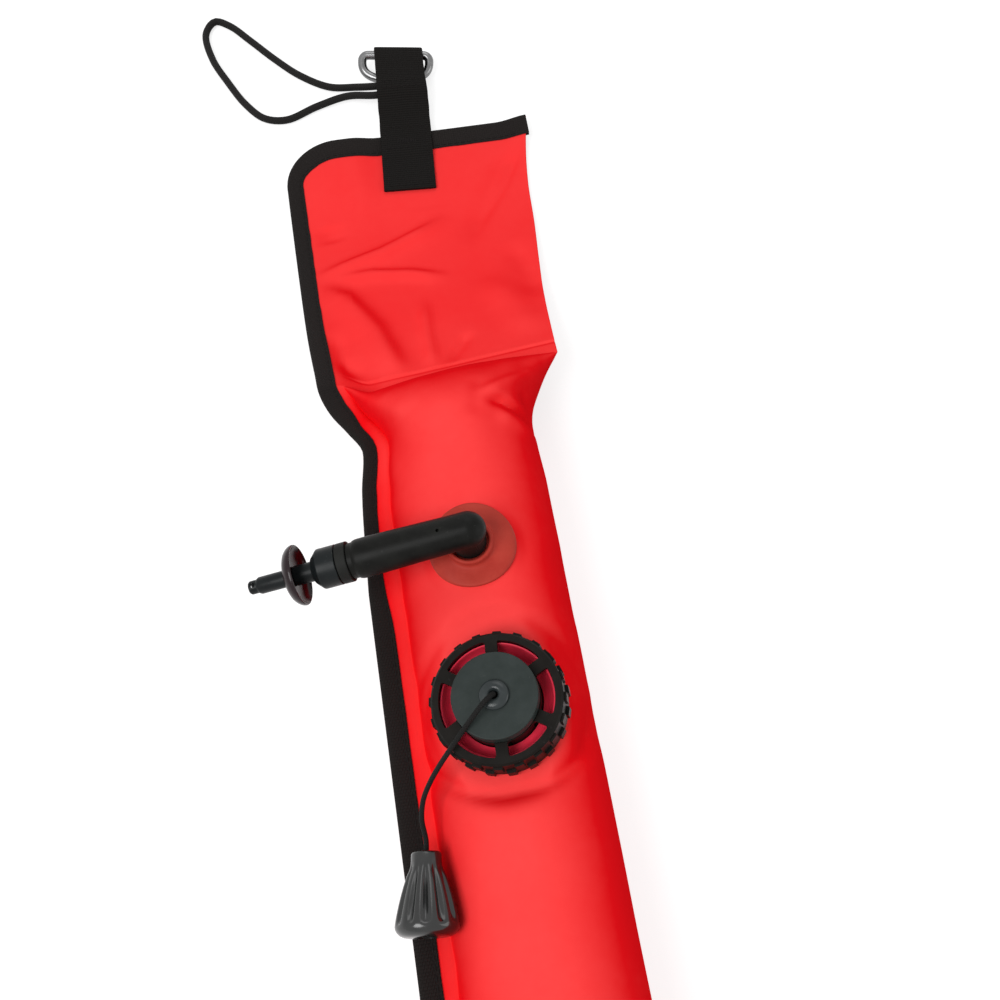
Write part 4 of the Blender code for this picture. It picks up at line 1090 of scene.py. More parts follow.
def valve_dents(x, y):
    """Creases that run round the dump valve, where the flat ring of cloth meets the round tube."""
    dx, dy = x - VALVE_FOOT.x, y - VALVE_FOOT.y
    radius = math.hypot(dx, dy)
    if radius > VALVE_DENTS_REACH:
        return 0.0
    turn = math.degrees(math.atan2(dy, dx))
    height = 0.0
    for direction, half_arc, fade, crease, growth, width, rise in VALVE_DENTS:
        away = abs(turn - direction)
        off_crease = (radius - (crease + growth * away)) / width
        height += rise * (1.0 - ramp(away, half_arc, fade)) * math.exp(-(off_crease**2))
    return height


def tube_relief(x, y, over):
    """Creases and slight unevenness of the inflated tube; over is 1 on top and 0 on the sides."""
    depth = distance_from_weld(y)
    if depth < 0.0:
        return 0.0
    uneven, size = TUBE_UNEVEN
    height = uneven * noise.noise(Vector((x, y, 9.0)) / size) * ease(depth / 20.0)
    pleat, region, fade = PLEATS
    height += pleat * bump(depth / region) * ease(depth / fade) * noise.noise(Vector((x / 9.0, y / 38.0, 2.0)))
    if y > 0.0 and over > 0.0:
        height += over * (sum(fold(x, y, *shape) for shape in TUBE_FOLDS) + valve_dents(x, y))
    elif over > 0.0:
        mirrored = WELD_Y - depth
        creases = TUBE_FOLDS[:FAR_CREASES]
        height += over * FAR_CREASE_PART * sum(fold(-x, mirrored, *shape) for shape in creases)
    pucker, across, width = PUCKERS
    beside_seam = math.exp(-(((x + across) / width) ** 2)) * ease(depth / 40.0)
    return height + pucker * beside_seam * noise.noise(Vector((3.0, y / 11.0, 1.0)))


def skin_section(y):
    """Closed row of points round the cloth at y: right side, top, fin, and back below."""
    right, left, half, centre = tube_section(y)
    if distance_from_weld(y) < 0:
        right = right_edge(y)
        left = WELD_LEFT - FIN_NARROWING * ease(-distance_from_weld(y) / FIN_NARROWING_LENGTH)
    shape = right, left, half, centre
    seam = seam_angle(y)
    root_x = left * math.cos(math.radians(seam))
    tip = -left_edge(y)
    fin = [root_x + (tip - root_x) * k / FIN_STEPS for k in range(1, FIN_STEPS + 1)]
    points = [skin_point(seam * k / OVER_STEPS, y, shape, 1.0) for k in range(OVER_STEPS + 1)]
    points += [flat_point(x, y, FABRIC_HALF) for x in fin]
    points.append(Vector((tip - 0.3, y, fabric_z(tip, y))))
    points += [flat_point(x, y, -FABRIC_HALF) for x in reversed(fin)]
    for k in range(UNDER_STEPS, 0, -1):
        points.append(skin_point(360.0 - (360.0 - seam) * k / UNDER_STEPS, y, shape, -1.0))
    return points


def off_left_edge(x, y):
    """Mask that is 0 on the bound edge and 1 well inside it."""
    return ramp(x + left_edge(y), 8.0, 15.0)


def weld_shift(x, y):
    """How far the cloth by the flap's weld lies along Y from its place: the weld runs slightly askew."""
    near_weld = bump((y - WELD_Y) / 55.0) if y > 0.0 else 0.0
    return (-3.5 + 0.1 * x) * near_weld * off_left_edge(x, y) if near_weld > 0.0 else 0.0


def flat_point(x, y, above_middle):
    """Point of the doubled fabric, at a height above its middle."""
    return Vector((x, y + weld_shift(x, y), fabric_z(x, y) + above_middle))


def skin_point(angle, y, shape, side):
    """Point of the cloth at an angle round it; side is 1 on its upper layer and -1 on its lower one."""
    right, left, half, centre = shape
    turn = math.radians(angle)
    width = right if math.cos(turn) > 0 else left
    x = width * math.cos(turn)
    rise = math.sin(turn)
    thinned = min(1.0, RIGHT_FOLD_THINNING * abs(rise)) if x > 0.0 else 1.0
    if distance_from_weld(y) < 0:
        crease = 0.0
        if y > 0.0:
            off_crease = (y - WELD_Y - WELD_CREASE_PLACE) / WELD_CREASE_WIDTH
            crease = WELD_CREASE * math.exp(-(off_crease**2)) * off_left_edge(x, y)
        return flat_point(x, y, side * FABRIC_HALF * thinned - crease)
    z = centre + half * rise
    if abs(half * rise) < FABRIC_HALF:
        z = centre + side * FABRIC_HALF * thinned
    point = pressed(Vector((x, y, z)))
    over = ramp(rise, -0.05, 0.35) if side > 0 else 0.0
    outward = Vector((math.cos(turn) / max(width, 1.0), 0.0, rise / max(half, 1.0)))
    point += outward.normalized() * tube_relief(x, y, over)
    point.y += weld_shift(x, y)
    point.z = max(point.z, 0.0)
    return point


def skin_stations():
    """Positions along Y of the cloth's sections, close together where its shape changes."""
    by_weld = (0.0, 0.12, 0.4, 0.9, 1.6, 2.5, 3.6)
    stations = spaced(FAR_END_Y, FAR_WELD_Y, 1.6)
    stations += [FAR_WELD_Y + d for d in by_weld]
    stations += spaced(FAR_WELD_Y + 5.0, FAR_WELD_Y + FAR_FINE_LENGTH, 2.0)
    stations += spaced(FAR_WELD_Y + FAR_FINE_LENGTH, 60.0, 5.0)
    stations += spaced(60.0, 225.0, 1.6)
    stations += spaced(225.0, WELD_Y - 5.0, 1.3)
    stations += [WELD_Y - d for d in (5.0, *reversed(by_weld))]
    stations += spaced(WELD_Y + 0.5, WELD_Y + 10.0, 0.5)
    stations += spaced(WELD_Y + 10.0, FLAP_END_Y - 22.0, 1.4)
    stations += spaced(FLAP_END_Y - 22.0, FLAP_END_Y, 0.9)
    return stations + [FLAP_END_Y]


def make_skin():
    stations = skin_stations()
    sections = [skin_section(y) for y in stations]
    middle = skin_section(30.0)
    around = [0.0]
    for a, b in zip(middle, middle[1:] + middle[:1]):
        around.append(around[-1] + (b - a).length)
    bm = swept(sections, around=around, along=[y - stations[0] for y in stations])
    return finished("tube_cloth", bm, BUOY, cloth, "root", "bladder", "red_fabric", corner=50.0)


def edge_route():
    """Points along the bound edge: the flap's end, the seam side and the far end."""
    flap_left = -left_edge(FLAP_END_Y)
    flap_corner_y = FLAP_END_Y - FLAP_CORNER
    far_left = -left_edge(FAR_END_Y + FAR_CORNER)
    far_corner_y = FAR_END_Y + FAR_CORNER
    across = spaced(right_edge(FLAP_END_Y) - 0.3, FLAP_CORNER - left_edge(flap_corner_y), 3.0)
    points = [(x, FLAP_END_Y) for x in across]
    points += arc(flap_left, flap_corner_y, FLAP_CORNER, 90.0, 90.0, 16)
    side = spaced(flap_corner_y, STEADY_EDGE_Y, 2.5)[1:]
    side += spaced(STEADY_EDGE_Y, FAR_WELD_Y + FAR_FINE_LENGTH, 6.0)
    side += spaced(FAR_WELD_Y + FAR_FINE_LENGTH, far_corner_y, 2.5)
    points += [(-left_edge(y), y) for y in side]
    points += arc(FAR_CORNER + far_left, far_corner_y, FAR_CORNER, 180.0, 90.0, 12)
    points += [(x, FAR_END_Y) for x in spaced(FAR_CORNER + far_left, right_edge(FAR_END_Y), 3.0)[1:]]
    points.append((right_edge(FAR_END_Y), FAR_END_Y))
    return [Vector(p) for p in points]


# Upper half of the tape's outline, then the cloth's edge inside it: depth from the cloth's edge, height
TAPE_OUTLINE = ((7.1, 0.55), (7.15, 0.85), (6.9, 1.02), (6.3, 1.0), (5.6, 0.92), (4.9, 1.08))
TAPE_OUTLINE += ((3.6, 1.28), (2.0, 1.38), (0.6, 1.36), (-0.3, 1.05), (-0.8, 0.5), (-0.9, 0.0))
TAPE_INSIDE = ((3.5, -0.52), (-0.15, -0.52), (-0.15, 0.52), (3.5, 0.52))
TAPE_WAVER = 0.22


def tape_frames():
    """Place and inward direction of the cloth at each point of the bound edge."""
    route = edge_route()
    frames = []
    for i, spot in enumerate(route):
        along = route[min(i + 1, len(route) - 1)] - route[max(i - 1, 0)]
        frames.append((spot, Vector((-along.y, along.x)).normalized()))
    return frames


def end_extra(spot):
    """How much further in the tape reaches over the flap's end than along the seam."""
    return END_BINDING_EXTRA * ramp(spot.y, FLAP_END_Y - FLAP_CORNER, FLAP_CORNER)


def on_tape(spot, inward, depth, height):
    """Point of the tape at a depth from the cloth's edge and a height above its middle."""
    narrowed = NARROW_TAPE_PART * ramp(spot.y, *NARROW_TAPE_START) * (1.0 - ramp(spot.y, *NARROW_TAPE_END))
    inner = depth * (1.0 - narrowed) if depth > 0.0 else depth
    inner += end_extra(spot) * clamped((depth - 2.0) / 3.6)
    x, y = spot + inward * inner
    return Vector((x, y, fabric_z(x, y))) + fabric_normal(x, y) * height


def make_binding():
    outline = list(TAPE_OUTLINE) + [(d, -h) for d, h in reversed(TAPE_OUTLINE[:-1])] + list(TAPE_INSIDE)
    sections = []
    for index, (spot, inward) in enumerate(tape_frames()):
        waver = TAPE_WAVER * noise.noise(Vector((index * 0.4, 7.0, 0.0)))
        sections.append([on_tape(spot, inward, d + (waver if d > 5.0 else 0.0), h) for d, h in outline])
    bm = swept(sections)
    return finished("edge_tape", bm, BUOY, tape, "root", "edge_binding", "black_tape", corner=60.0)


def stitch(bm, spot, along, normal, length, radius):
    """One stitch: a stretched ball that lies along a seam."""
    made = bmesh.ops.create_icosphere(bm, subdivisions=1, radius=1.0)["verts"]
    side = normal.cross(along).normalized()
    up = along.cross(side).normalized()
    turn = Matrix((along.normalized() * length / 2, side * radius, up * radius)).transposed()
    bmesh.ops.transform(bm, matrix=Matrix.Translation(spot) @ turn.to_4x4(), verts=made)


def make_binding_stitches():
    """Stitches along the tape's inner side, on both faces."""
    bm = bmesh.new()
    depth, height, pitch = BINDING_SEAM
    places = [on_tape(spot, inward, depth, height) for spot, inward in tape_frames()]
    even, _ = smooth_route(places[2:-2], pitch)
    for a, b in zip(even, even[1:]):
        middle = (a + b) / 2
        normal = fabric_normal(middle.x, middle.y)
        for spot in (middle, middle - normal * 2 * height):
            stitch(bm, spot, b - a, normal, *BINDING_STITCH)
    return finished("binding_stitches", bm, BUOY, thread, "root", slot="black_tape")


def strap_line():
    """Middle line of the folded webbing: over the flap, round the bar and back under the flap."""
    reach = WEBBING_HALF + RING_WIRE / 2 + 0.3
    bar_y, bar_z = RING_PLACE.y, RING_PLACE.z
    over = [(2.4, 4.6), (12.0, 4.6), (20.0, 4.6), (26.0, 5.4), (35.0, 5.45), (41.5, 5.4), (48.0, 6.1)]
    over += [(55.0, 8.0), (60.5, 10.0), (64.0, 10.6), (70.0, 10.6), (74.5, 10.7)]
    over.append((79.5, bar_z + reach - 0.15))
    turns = [math.radians(90.0 - 212.0 * k / 13) for k in range(14)]
    bend = [(bar_y + reach * math.cos(turn), bar_z + reach * math.sin(turn)) for turn in turns]
    under = [(78.1, 8.5), (75.6, 8.6), (73.6, 7.6), (72.0, 6.2), (70.2, 4.9), (67.5, 4.1), (64.0, 3.4)]
    under += [(57.0, 2.0), (49.0, 1.0)] + [(y, WEBBING_HALF) for y in (41.5, 30.0, 15.0, 2.4)]
    return [Vector((0.0, y, z)) for y, z in over + bend + under]


def strap_point(x, spot, up, height):
    """Point across the strap, which turns with the ring's bar and narrows there on its right."""
    near_loop = ramp(spot.y, 58.0, 18.0)
    narrowing = LOOP_NARROWING * near_loop if x > 0.0 else 0.0
    askew = Vector((x * (1.0 - narrowing), x * math.tan(LOOP_SKEW) * near_loop, 0.0))
    return spot + askew + up * height


def make_strap():
    line, _ = smooth_route(strap_line(), 0.8)
    half = WEBBING_WIDTH / 2
    outline = [(-half, 0.0), (-half + 0.15, 0.45), (-half + 0.8, 0.66)]
    outline += [(x, 0.68) for x in (-9.0, -6.0, -3.0, 0.0, 3.0, 6.0, 9.0)]
    outline += [(half - 0.8, 0.66), (half - 0.15, 0.45), (half, 0.0)]
    outline += [(x, -h) for x, h in reversed(outline[1:-1])]
    sections = []
    for i, spot in enumerate(line):
        along = (line[min(i + 1, len(line) - 1)] - line[max(i - 1, 0)]).normalized()
        up = Vector((0.0, -along.z, along.y))
        drawn = 1.0 + STRAP_WAVER * noise.noise(Vector((0.0, i * 0.12, 5.0))) / half
        sections.append([strap_point(x * drawn if abs(x) > 8.0 else x, spot, up, h) for x, h in outline])
    bm = swept(sections)
    return finished("folded_webbing", bm, TAB, webbing, "root", "webbing_tab", "black_webbing", corner=50.0)


def make_tab_stitches():
    """Rows of stitches that hold the webbing: across its end, down its sides, and across by the ring."""
    bm = bmesh.new()
    line, _ = smooth_route(strap_line(), 0.5)
    upper = [p for p in line if p.z > 4.4][: int(86.0 / 0.5)]

    def top_at(y):
        return min(upper, key=lambda p: abs(p.y - y)).z + WEBBING_HALF

    def row(start, end, pitch, length, radius):
        count = max(1, round(math.dist(start, end) / pitch))
        for k in range(count):
            spot = Vector((*start, 0.0)).lerp(Vector((*end, 0.0)), (k + 0.5) / count)
            spot.z = top_at(spot.y) - 0.02
            slope = (top_at(spot.y + 1.0) - top_at(spot.y - 1.0)) / 2.0
            along = Vector((end[0] - start[0], end[1] - start[1], 0.0)).normalized()
            along.z = along.y * slope
            stitch(bm, spot, along, Vector((0.0, -slope, 1.0)), length, radius)

    side = WEBBING_WIDTH / 2 - TAB_SEAM_INSET
    for y in TAB_ROWS:
        row((-side, y), (side, y), TAB_STITCH_PITCH, *TAB_STITCH)
    for x in (-side, side):
        row((x, TAB_ROWS[0]), (x, TAB_ROWS[2]), TAB_STITCH_PITCH, *TAB_STITCH)
    for k in range(12):
        x = -4.4 + TACK_PITCH * k
        row((x, 29.6), (x, 33.6), TACK_STITCH[0], *TACK_STITCH)
    return finished("tab_stitches", bm, TAB, thread, "root", slot="black_webbing")


def make_ring():
    """Welded D: a straight bar through the webbing and a bow."""
    straight = RING_HALF_WIDTH - RING_CORNER
    flat = [(x, 0.0) for x in (-straight, -straight / 2, 0.0, straight / 2)]
    flat += arc(straight, -RING_CORNER, RING_CORNER, 90.0, -90.0, 8)
    bow = 48
    depth = RING_DEPTH - RING_CORNER
    for k in range(1, bow):
        turn = math.pi * k / bow
        across = math.copysign(abs(math.cos(turn)) ** RING_BOW_POWER, math.cos(turn))
        down = math.sin(turn) ** RING_BOW_POWER
        flat.append((RING_HALF_WIDTH * across, -RING_CORNER - depth * down))
    flat += arc(-straight, -RING_CORNER, RING_CORNER, 180.0, -90.0, 8)[:-1]
    path = [Vector((x, y, 0.0)) for x, y in flat]
    sections = []
    for i, spot in enumerate(path):
        along = (path[(i + 1) % len(path)] - path[i - 1]).normalized()
        sections.append(circle(spot, along.cross(UP), UP, RING_WIRE / 2, 24))
    bm = swept(sections, cyclic=True)
    return finished("welded_ring", bm, RING, ring_steel, "d_ring", "d_ring", "steel")


def round_sections(path, radius, steps):
    """Circles along a path, each turned as little as possible from the last."""
    sections = []
    side = Vector((0.3, 0.1, 1.0))
    for i, spot in enumerate(path):
        along = (path[min(i + 1, len(path) - 1)] - path[max(i - 1, 0)]).normalized()
        side = (side - along * side.dot(along)).normalized()
        sections.append(circle(spot, side, along.cross(side), radius, steps))
    return sections


BUNGEE_ROUTE = (
    (-2.2, 474.8, 7.7),
    (-11.2, 475.3, 7.4),
    (-20.5, 478.8, 4.8),
    (-34.1, 483.8, 2.1),
    (-48.2, 494.0, 1.92),
    (-59.9, 507.0, 1.92),
    (-71.7, 522.2, 1.92),
    (-81.5, 534.2, 1.92),
    (-89.0, 538.6, 1.92),
    (-94.2, 531.0, 1.92),
    (-92.1, 513.0, 1.92),
    (-85.1, 495.4, 1.92),
    (-77.0, 479.0, 1.92),
    (-68.3, 468.6, 1.92),
    (-57.5, 466.0, 1.92),
    (-41.6, 472.0, 2.1),
    (-25.5, 474.2, 4.2),
    (-12.5, 469.9, 7.0),
    (-2.5, 469.4, 7.3),
)


PULL_CORD_DRAPE = (
    (-6.3, 138.9, 81.2),
    (-8.6, 137.0, 82.3),
    (-11.8, 134.2, 81.4),
    (-15.8, 130.8, 78.4),
    (-22.2, 125.0, 73.6),
    (-27.0, 121.0, 67.4),
    (-30.8, 117.3, 61.4),
    (-33.7, 113.1, 56.8),
    (-35.2, 107.5, 53.4),
)


def pull_cord_route():
    """Route of the pull cord: up the valve's axis, over the cap's rim and down to the knob's core."""
    route = [VALVE_FOOT + VALVE_PLANE[1] * h for h in (5.6, 8.5, 12.0, 15.5, 18.5, 20.9)]
    route += [Vector(p) for p in PULL_CORD_DRAPE]
    return route + [KNOB_TOP + knob_down * d for d in (-4.0, 2.0, 8.0, 14.0, 19.0)]


def make_cord(name, route, diameter, material, body, node, slot, spacing):
    """Cord along a route: its piece, its path in metres and its length in metres."""
    path, length = smooth_route(route, spacing)
    bm = swept(round_sections(path, diameter / 2, 16))
    piece = finished(name, bm, BUOY, material, body, node, slot, corner=60.0)
    return piece, [(BUOY @ p) * MM for p in path], length * MM


# Fittings


def rounded_end(radius, start):
    """Outline of a half ball that ends a rod at a start height, from the pole outward."""
    steps = 10
    angles = [math.pi / 2 * k / steps for k in range(steps)]
    return [(radius * math.sin(angle), start - radius * math.cos(angle)) for angle in angles]


# Patch from below outward and up, then its neck and rolled lip: radius, height over the cloth
PATCH_OUTLINE = ((5.5, 0.05), (10.0, 0.05), (13.2, 0.05), (15.9, 0.02))
PATCH_OUTLINE += ((PATCH_RADIUS, 0.2), (PATCH_RADIUS, 0.85), (PATCH_RADIUS - 0.25, 1.2))
PATCH_OUTLINE += ((PATCH_RADIUS - 0.8, 1.32), (14.0, 1.36), (12.0, 1.4), (10.2, 1.5), (9.2, 1.8))
PATCH_OUTLINE += ((8.75, 2.6), (8.7, 3.8), (8.55, 4.35), (8.1, 4.62), (7.7, 4.62), (7.3, 4.35), (7.2, 3.9))
PATCH_OUTLINE += ((7.2, 1.5), (5.5, 1.5))
PATCH_STEPS = 96


def make_patch():
    """Weld patch that follows the tube, with a raised neck whose lip is rolled."""
    normal = PATCH_PLANE[1]
    turn_to_plane = lean(PATCH_LEAN).to_3x3()
    neck_up = (BUOY.inverted() @ NECK).to_3x3().col[2]
    centre = Vector((0.0, NECK_FOOT.y, TUBE_AXIS_Z))
    sections = []
    for k in range(PATCH_STEPS):
        section = []
        for radius, height in PATCH_OUTLINE:
            base = NECK_FOOT + turn_to_plane @ Vector((*at_angle(radius, math.tau * k / PATCH_STEPS), 0.0))
            out = base - centre
            out.y = 0.0
            over = out.dot(normal)
            to_tube = -over + math.sqrt(over**2 - out.length_squared + TUBE_RADIUS**2)
            neck = neck_up if radius < 10.0 and height > 1.5 else normal
            section.append(pressed(base + normal * to_tube) + neck * (height + 0.3))
        sections.append(section)
    bm = swept(sections, cyclic=True)
    return finished(
        "weld_patch", bm, BUOY, patch_rubber, "root", "inflator_patch", "salmon_rubber", corner=60.0
    )


def make_elbow():
    """Elbow: a round knee, a short leg down into the neck, and the tapered barrel that holds the valve."""
    barrel = rounded_end(6.6, -2.2) + [(6.6, -2.2), (6.6, 4.0), (7.15, 29.0), (7.2, 31.5), (7.2, 37.4)]
    barrel += [(7.12, 38.2), (6.9, 39.0), (6.55, 39.4), (6.5, 39.8), (6.5, 41.2), (0.0, 41.2)]
    bm = turned(barrel)
    elbow = finished("elbow", bm, BARREL, inflator_plastic, "root", "inflator_elbow", "black_plastic")
    leg_top = KNEE_HEIGHT - 0.4
    leg = turned([(0.0, 3.0), (5.9, 3.0), (6.3, 3.4), (6.3, leg_top), (0.0, leg_top)], 64)
    cut(elbow, [tool_piece(leg, NECK)], "UNION")
    chamber = turned([(0.0, -0.5), (3.6, -0.5), (3.6, 16.4), (5.3, 16.4), (5.3, 50.0), (0.0, 50.0)], 48)
    bore_top = KNEE_HEIGHT + 0.6
    passage = turned([(0.0, -5.0), (3.4, -5.0), (3.4, bore_top), (0.0, bore_top)], 40)
    pin = bmesh.new()
    bmesh.ops.create_cone(pin, segments=24, radius1=0.62, radius2=0.62, depth=3.0, cap_ends=True)
    bmesh.ops.rotate(pin, verts=pin.verts, matrix=Matrix.Rotation(math.radians(90), 3, "Y"))
    bmesh.ops.translate(pin, vec=(6.9, 0.0, 7.3), verts=pin.verts)
    cut(elbow, [tool_piece(chamber, BARREL), tool_piece(passage, NECK), tool_piece(pin, BARREL)])
    elbow.data.set_sharp_from_angle(angle=math.radians(35.0))
    return elbow


def turned_piece(name, profile, where, material, body, node, slot, steps=72, rounding=0.25):
    piece = finished(name, turned(profile, steps), where, material, body, node, slot)
    return applied(softened(piece, rounding)) if rounding else piece


def make_inflator():
    make_patch()
    make_elbow()
    washer = [(5.3, 41.5), (7.4, 41.5), (7.4, 45.3), (5.3, 45.3)]
    turned_piece(
        "lock_washer", washer, BARREL, washer_plastic, "root", "inflator_lock_washer", "black_plastic"
    )
    cap = [(3.95, 32.4), (5.0, 32.4), (5.0, 45.6), (7.4, 45.6), (7.4, 52.6), (4.7, 55.3), (3.95, 55.3)]
    turned_piece(
        "end_cap", cap, BARREL, end_plastic, "root", "inflator_end_cap", "black_plastic", rounding=0.35
    )
    rod = [(1.6, 30.6), (3.65, 30.6), (3.65, 62.3), (3.15, 62.3), (3.15, 75.8), (2.75, 76.6), (2.5, 76.9)]
    rod += [(2.5, 79.4), (2.1, 80.0), (1.6, 80.0)]
    stem = turned_piece(
        "mouth_stem", rod, BARREL, end_plastic, "inflator_valve", "inflator_stem", "black_plastic", 48, 0.0
    )
    inlet = tool_piece(block((-5.0, -1.1, 33.8), (5.0, 1.1, 36.0)), BARREL)
    hole = tool_piece(block((-5.0, -0.8, 77.5), (5.0, 0.8, 79.0)), BARREL)
    cut(stem, [inlet, hole])
    applied(softened(stem, 0.15))
    disc = [(3.45, 62.6), (5.0, 62.7), (6.5, 62.6), (8.0, 62.3), (9.0, 61.95), (9.8, 61.4), (10.3, 60.8)]
    disc += [(10.6, 60.45), (10.9, 60.4), (11.15, 60.6), (11.25, 61.0), (11.15, 61.6), (10.85, 62.3)]
    disc += [(10.2, 63.2), (9.4, 63.9), (8.0, 64.6), (6.8, 64.95), (5.6, 65.2), (3.45, 65.3)]
    turned_piece(
        "press_disc", disc, BARREL, disc_plastic, "inflator_valve", "inflator_press_disc", "black_plastic",
        96, 0.0,
    )


def slot_cutter(inner, outer, low, high, middle):
    """Cutter for one slot of the cap's face, which leaves parallel-sided spokes between the slots."""
    bm = bmesh.new()
    steps = 14
    outline = []
    for radius, order in ((outer, range(steps + 1)), (inner, range(steps, -1, -1))):
        half_angle = math.pi / CAP_SLOTS - math.asin(CAP_SPOKE / 2 / radius)
        outline += [at_angle(radius, middle - half_angle + 2 * half_angle * k / steps) for k in order]
    raise_prism(bm, outline, low, high)
    bm.normal_update()
    corners = []
    for edge in bm.edges:
        upright = abs(edge.verts[0].co.z - edge.verts[1].co.z) > 1.0
        if upright and edge.calc_face_angle(0.0) > math.radians(50.0):
            corners.append(edge)
    bmesh.ops.bevel(bm, geom=corners, offset=0.9, segments=5, profile=0.5, affect="EDGES", material=-1)
    return bm


def make_cap():
    """Dump valve cap: slotted face, knurled skirt, and an inner sleeve with windows."""
    profile = [(13.3, 2.4), (14.8, 2.4), (14.8, CAP_FACE - 2.0), (20.2, CAP_FACE - 2.0), (20.2, 0.6)]
    profile += [(CAP_RADIUS + CAP_FLARE, 0.6), (CAP_RADIUS, CAP_FACE - 0.7), (CAP_RADIUS - 0.7, CAP_FACE)]
    profile += [(15.15, CAP_FACE), (15.15, CAP_FACE - 0.8), (13.4, CAP_FACE - 0.8), (13.4, 5.6), (11.0, 5.6)]
    profile += [(11.0, 4.8), (13.3, 4.8)]
    bm = turned(profile, 120)
    cap = finished("knurled_cap", bm, VALVE, cap_plastic, "root", "opv_cap", "black_plastic")
    pitch = math.tau / CAP_TEETH
    teeth = bmesh.new()
    for tier, (low, high, reach) in enumerate(((1.3, 6.9, 1.4), (7.4, 12.9, 0.95))):
        for k in range(CAP_TEETH):
            middle = pitch * (k + 0.5 * tier)
            root = [at_angle(CAP_RADIUS - 0.5, middle + end * pitch) for end in (-0.26, 0.26)]
            tip = [at_angle(CAP_RADIUS + reach, middle + end * pitch) for end in (0.19, -0.19)]
            raise_prism(teeth, root + tip, low, high)
    cut(cap, [tool_piece(teeth, VALVE)], "UNION")
    slots = []
    for k in range(CAP_SLOTS):
        middle = CAP_SLOT_TURN + math.tau * k / CAP_SLOTS
        slots.append(tool_piece(slot_cutter(14.95, 19.9, CAP_FACE - 3.0, CAP_FACE + 2.0, middle), VALVE))
        between = middle + math.pi / CAP_SLOTS
        slots.append(tool_piece(block((12.0, -3.0, 6.4), (16.5, 3.0, 10.2), between), VALVE))
    cut(cap, slots)
    cap.data.set_sharp_from_angle(angle=math.radians(35.0))
    return applied(softened(cap, 0.22))


def make_valve():
    base = [(8.0, -3.1), (15.4, -3.1), (15.4, -1.5), (13.0, -1.5), (13.0, 3.4), (9.8, 3.4)]
    base += [(9.5, 4.0), (8.0, 4.0)]
    turned_piece("valve_base", base, VALVE, black_plastic, "root", "opv_base", "black_plastic", 96, 0.15)
    clamp = [(13.35, 0.3), (19.8, 0.3), (19.8, 11.8), (19.7, 12.1), (19.5, 12.2), (19.25, 12.1), (19.1, 11.8)]
    clamp += [(18.9, 10.8), (18.6, 9.6), (18.1, 8.5), (17.4, 7.6), (16.8, 7.1), (16.2, 6.8), (15.2, 6.6)]
    clamp += [(15.2, 2.1), (13.35, 2.1)]
    turned_piece(
        "clamp_ring", clamp, VALVE, crimson_rubber, "root", "opv_clamp_ring", "crimson_rubber", 96, 0.0
    )
    make_cap()
    hub = [(3.0, 14.2), (4.6, 14.2), (4.6, 12.1), (7.6, 12.1), (7.6, 14.2), (11.8, 14.2), (11.8, 12.5)]
    hub += [(13.1, 12.5), (13.1, 14.2), (14.8, 14.2), (14.8, HUB_TOP), (3.0, HUB_TOP)]
    turned_piece("hub_disc", hub, VALVE, hub_plastic, "root", "opv_hub_disc", "grey_plastic", 120, 0.45)
    guide = [(1.35, 13.7), (2.7, 13.7), (2.7, 19.6), (4.9, 19.6), (5.12, 19.75), (5.15, 20.0), (5.0, 20.35)]
    guide += [(4.5, 20.8), (3.8, 21.1), (3.1, 21.22), (2.5, 21.2), (2.0, 21.05), (1.6, 20.7), (1.35, 20.2)]
    turned_piece(
        "cord_eyelet", guide, VALVE, guide_plastic, "root", "opv_cord_guide", "grey_plastic", rounding=0.0
    )
    knot = rounded_end(1.9, 3.4)[:-1] + [(1.9, 3.4), (1.5, 4.7), (0.0, 5.3)]
    turned_piece(
        "poppet_knot", knot, VALVE, pull_cord_cover, "dump_valve", "pull_cord_knot", "black_cord", 32, 0.0
    )


# Knob from its neck down: height, radius, depth of the grooves between its ribs
KNOB_LEVELS = ((0.0, 4.6, 0.0), (0.25, 4.95, 0.0), (0.8, 5.15, 0.0), (3.0, 5.2, 0.0), (4.4, 5.35, 0.1))
KNOB_LEVELS += ((6.0, 5.9, 0.35), (8.0, 6.9, 0.6), (11.0, 7.95, 0.85), (14.0, 8.85, 1.0), (17.0, 9.65, 1.05))
KNOB_LEVELS += ((20.0, 10.35, 1.0), (21.6, 10.65, 0.75), (22.6, 10.8, 0.3), (23.2, 10.85, 0.0))
KNOB_LEVELS += ((24.2, 10.7, 0.0), (25.2, 10.15, 0.0), (26.1, 9.2, 0.0), (26.7, 7.9, 0.0), (27.0, 6.3, 0.0))
GROOVE_DEPTH = 1.35
GROOVE_POWER = 2.2


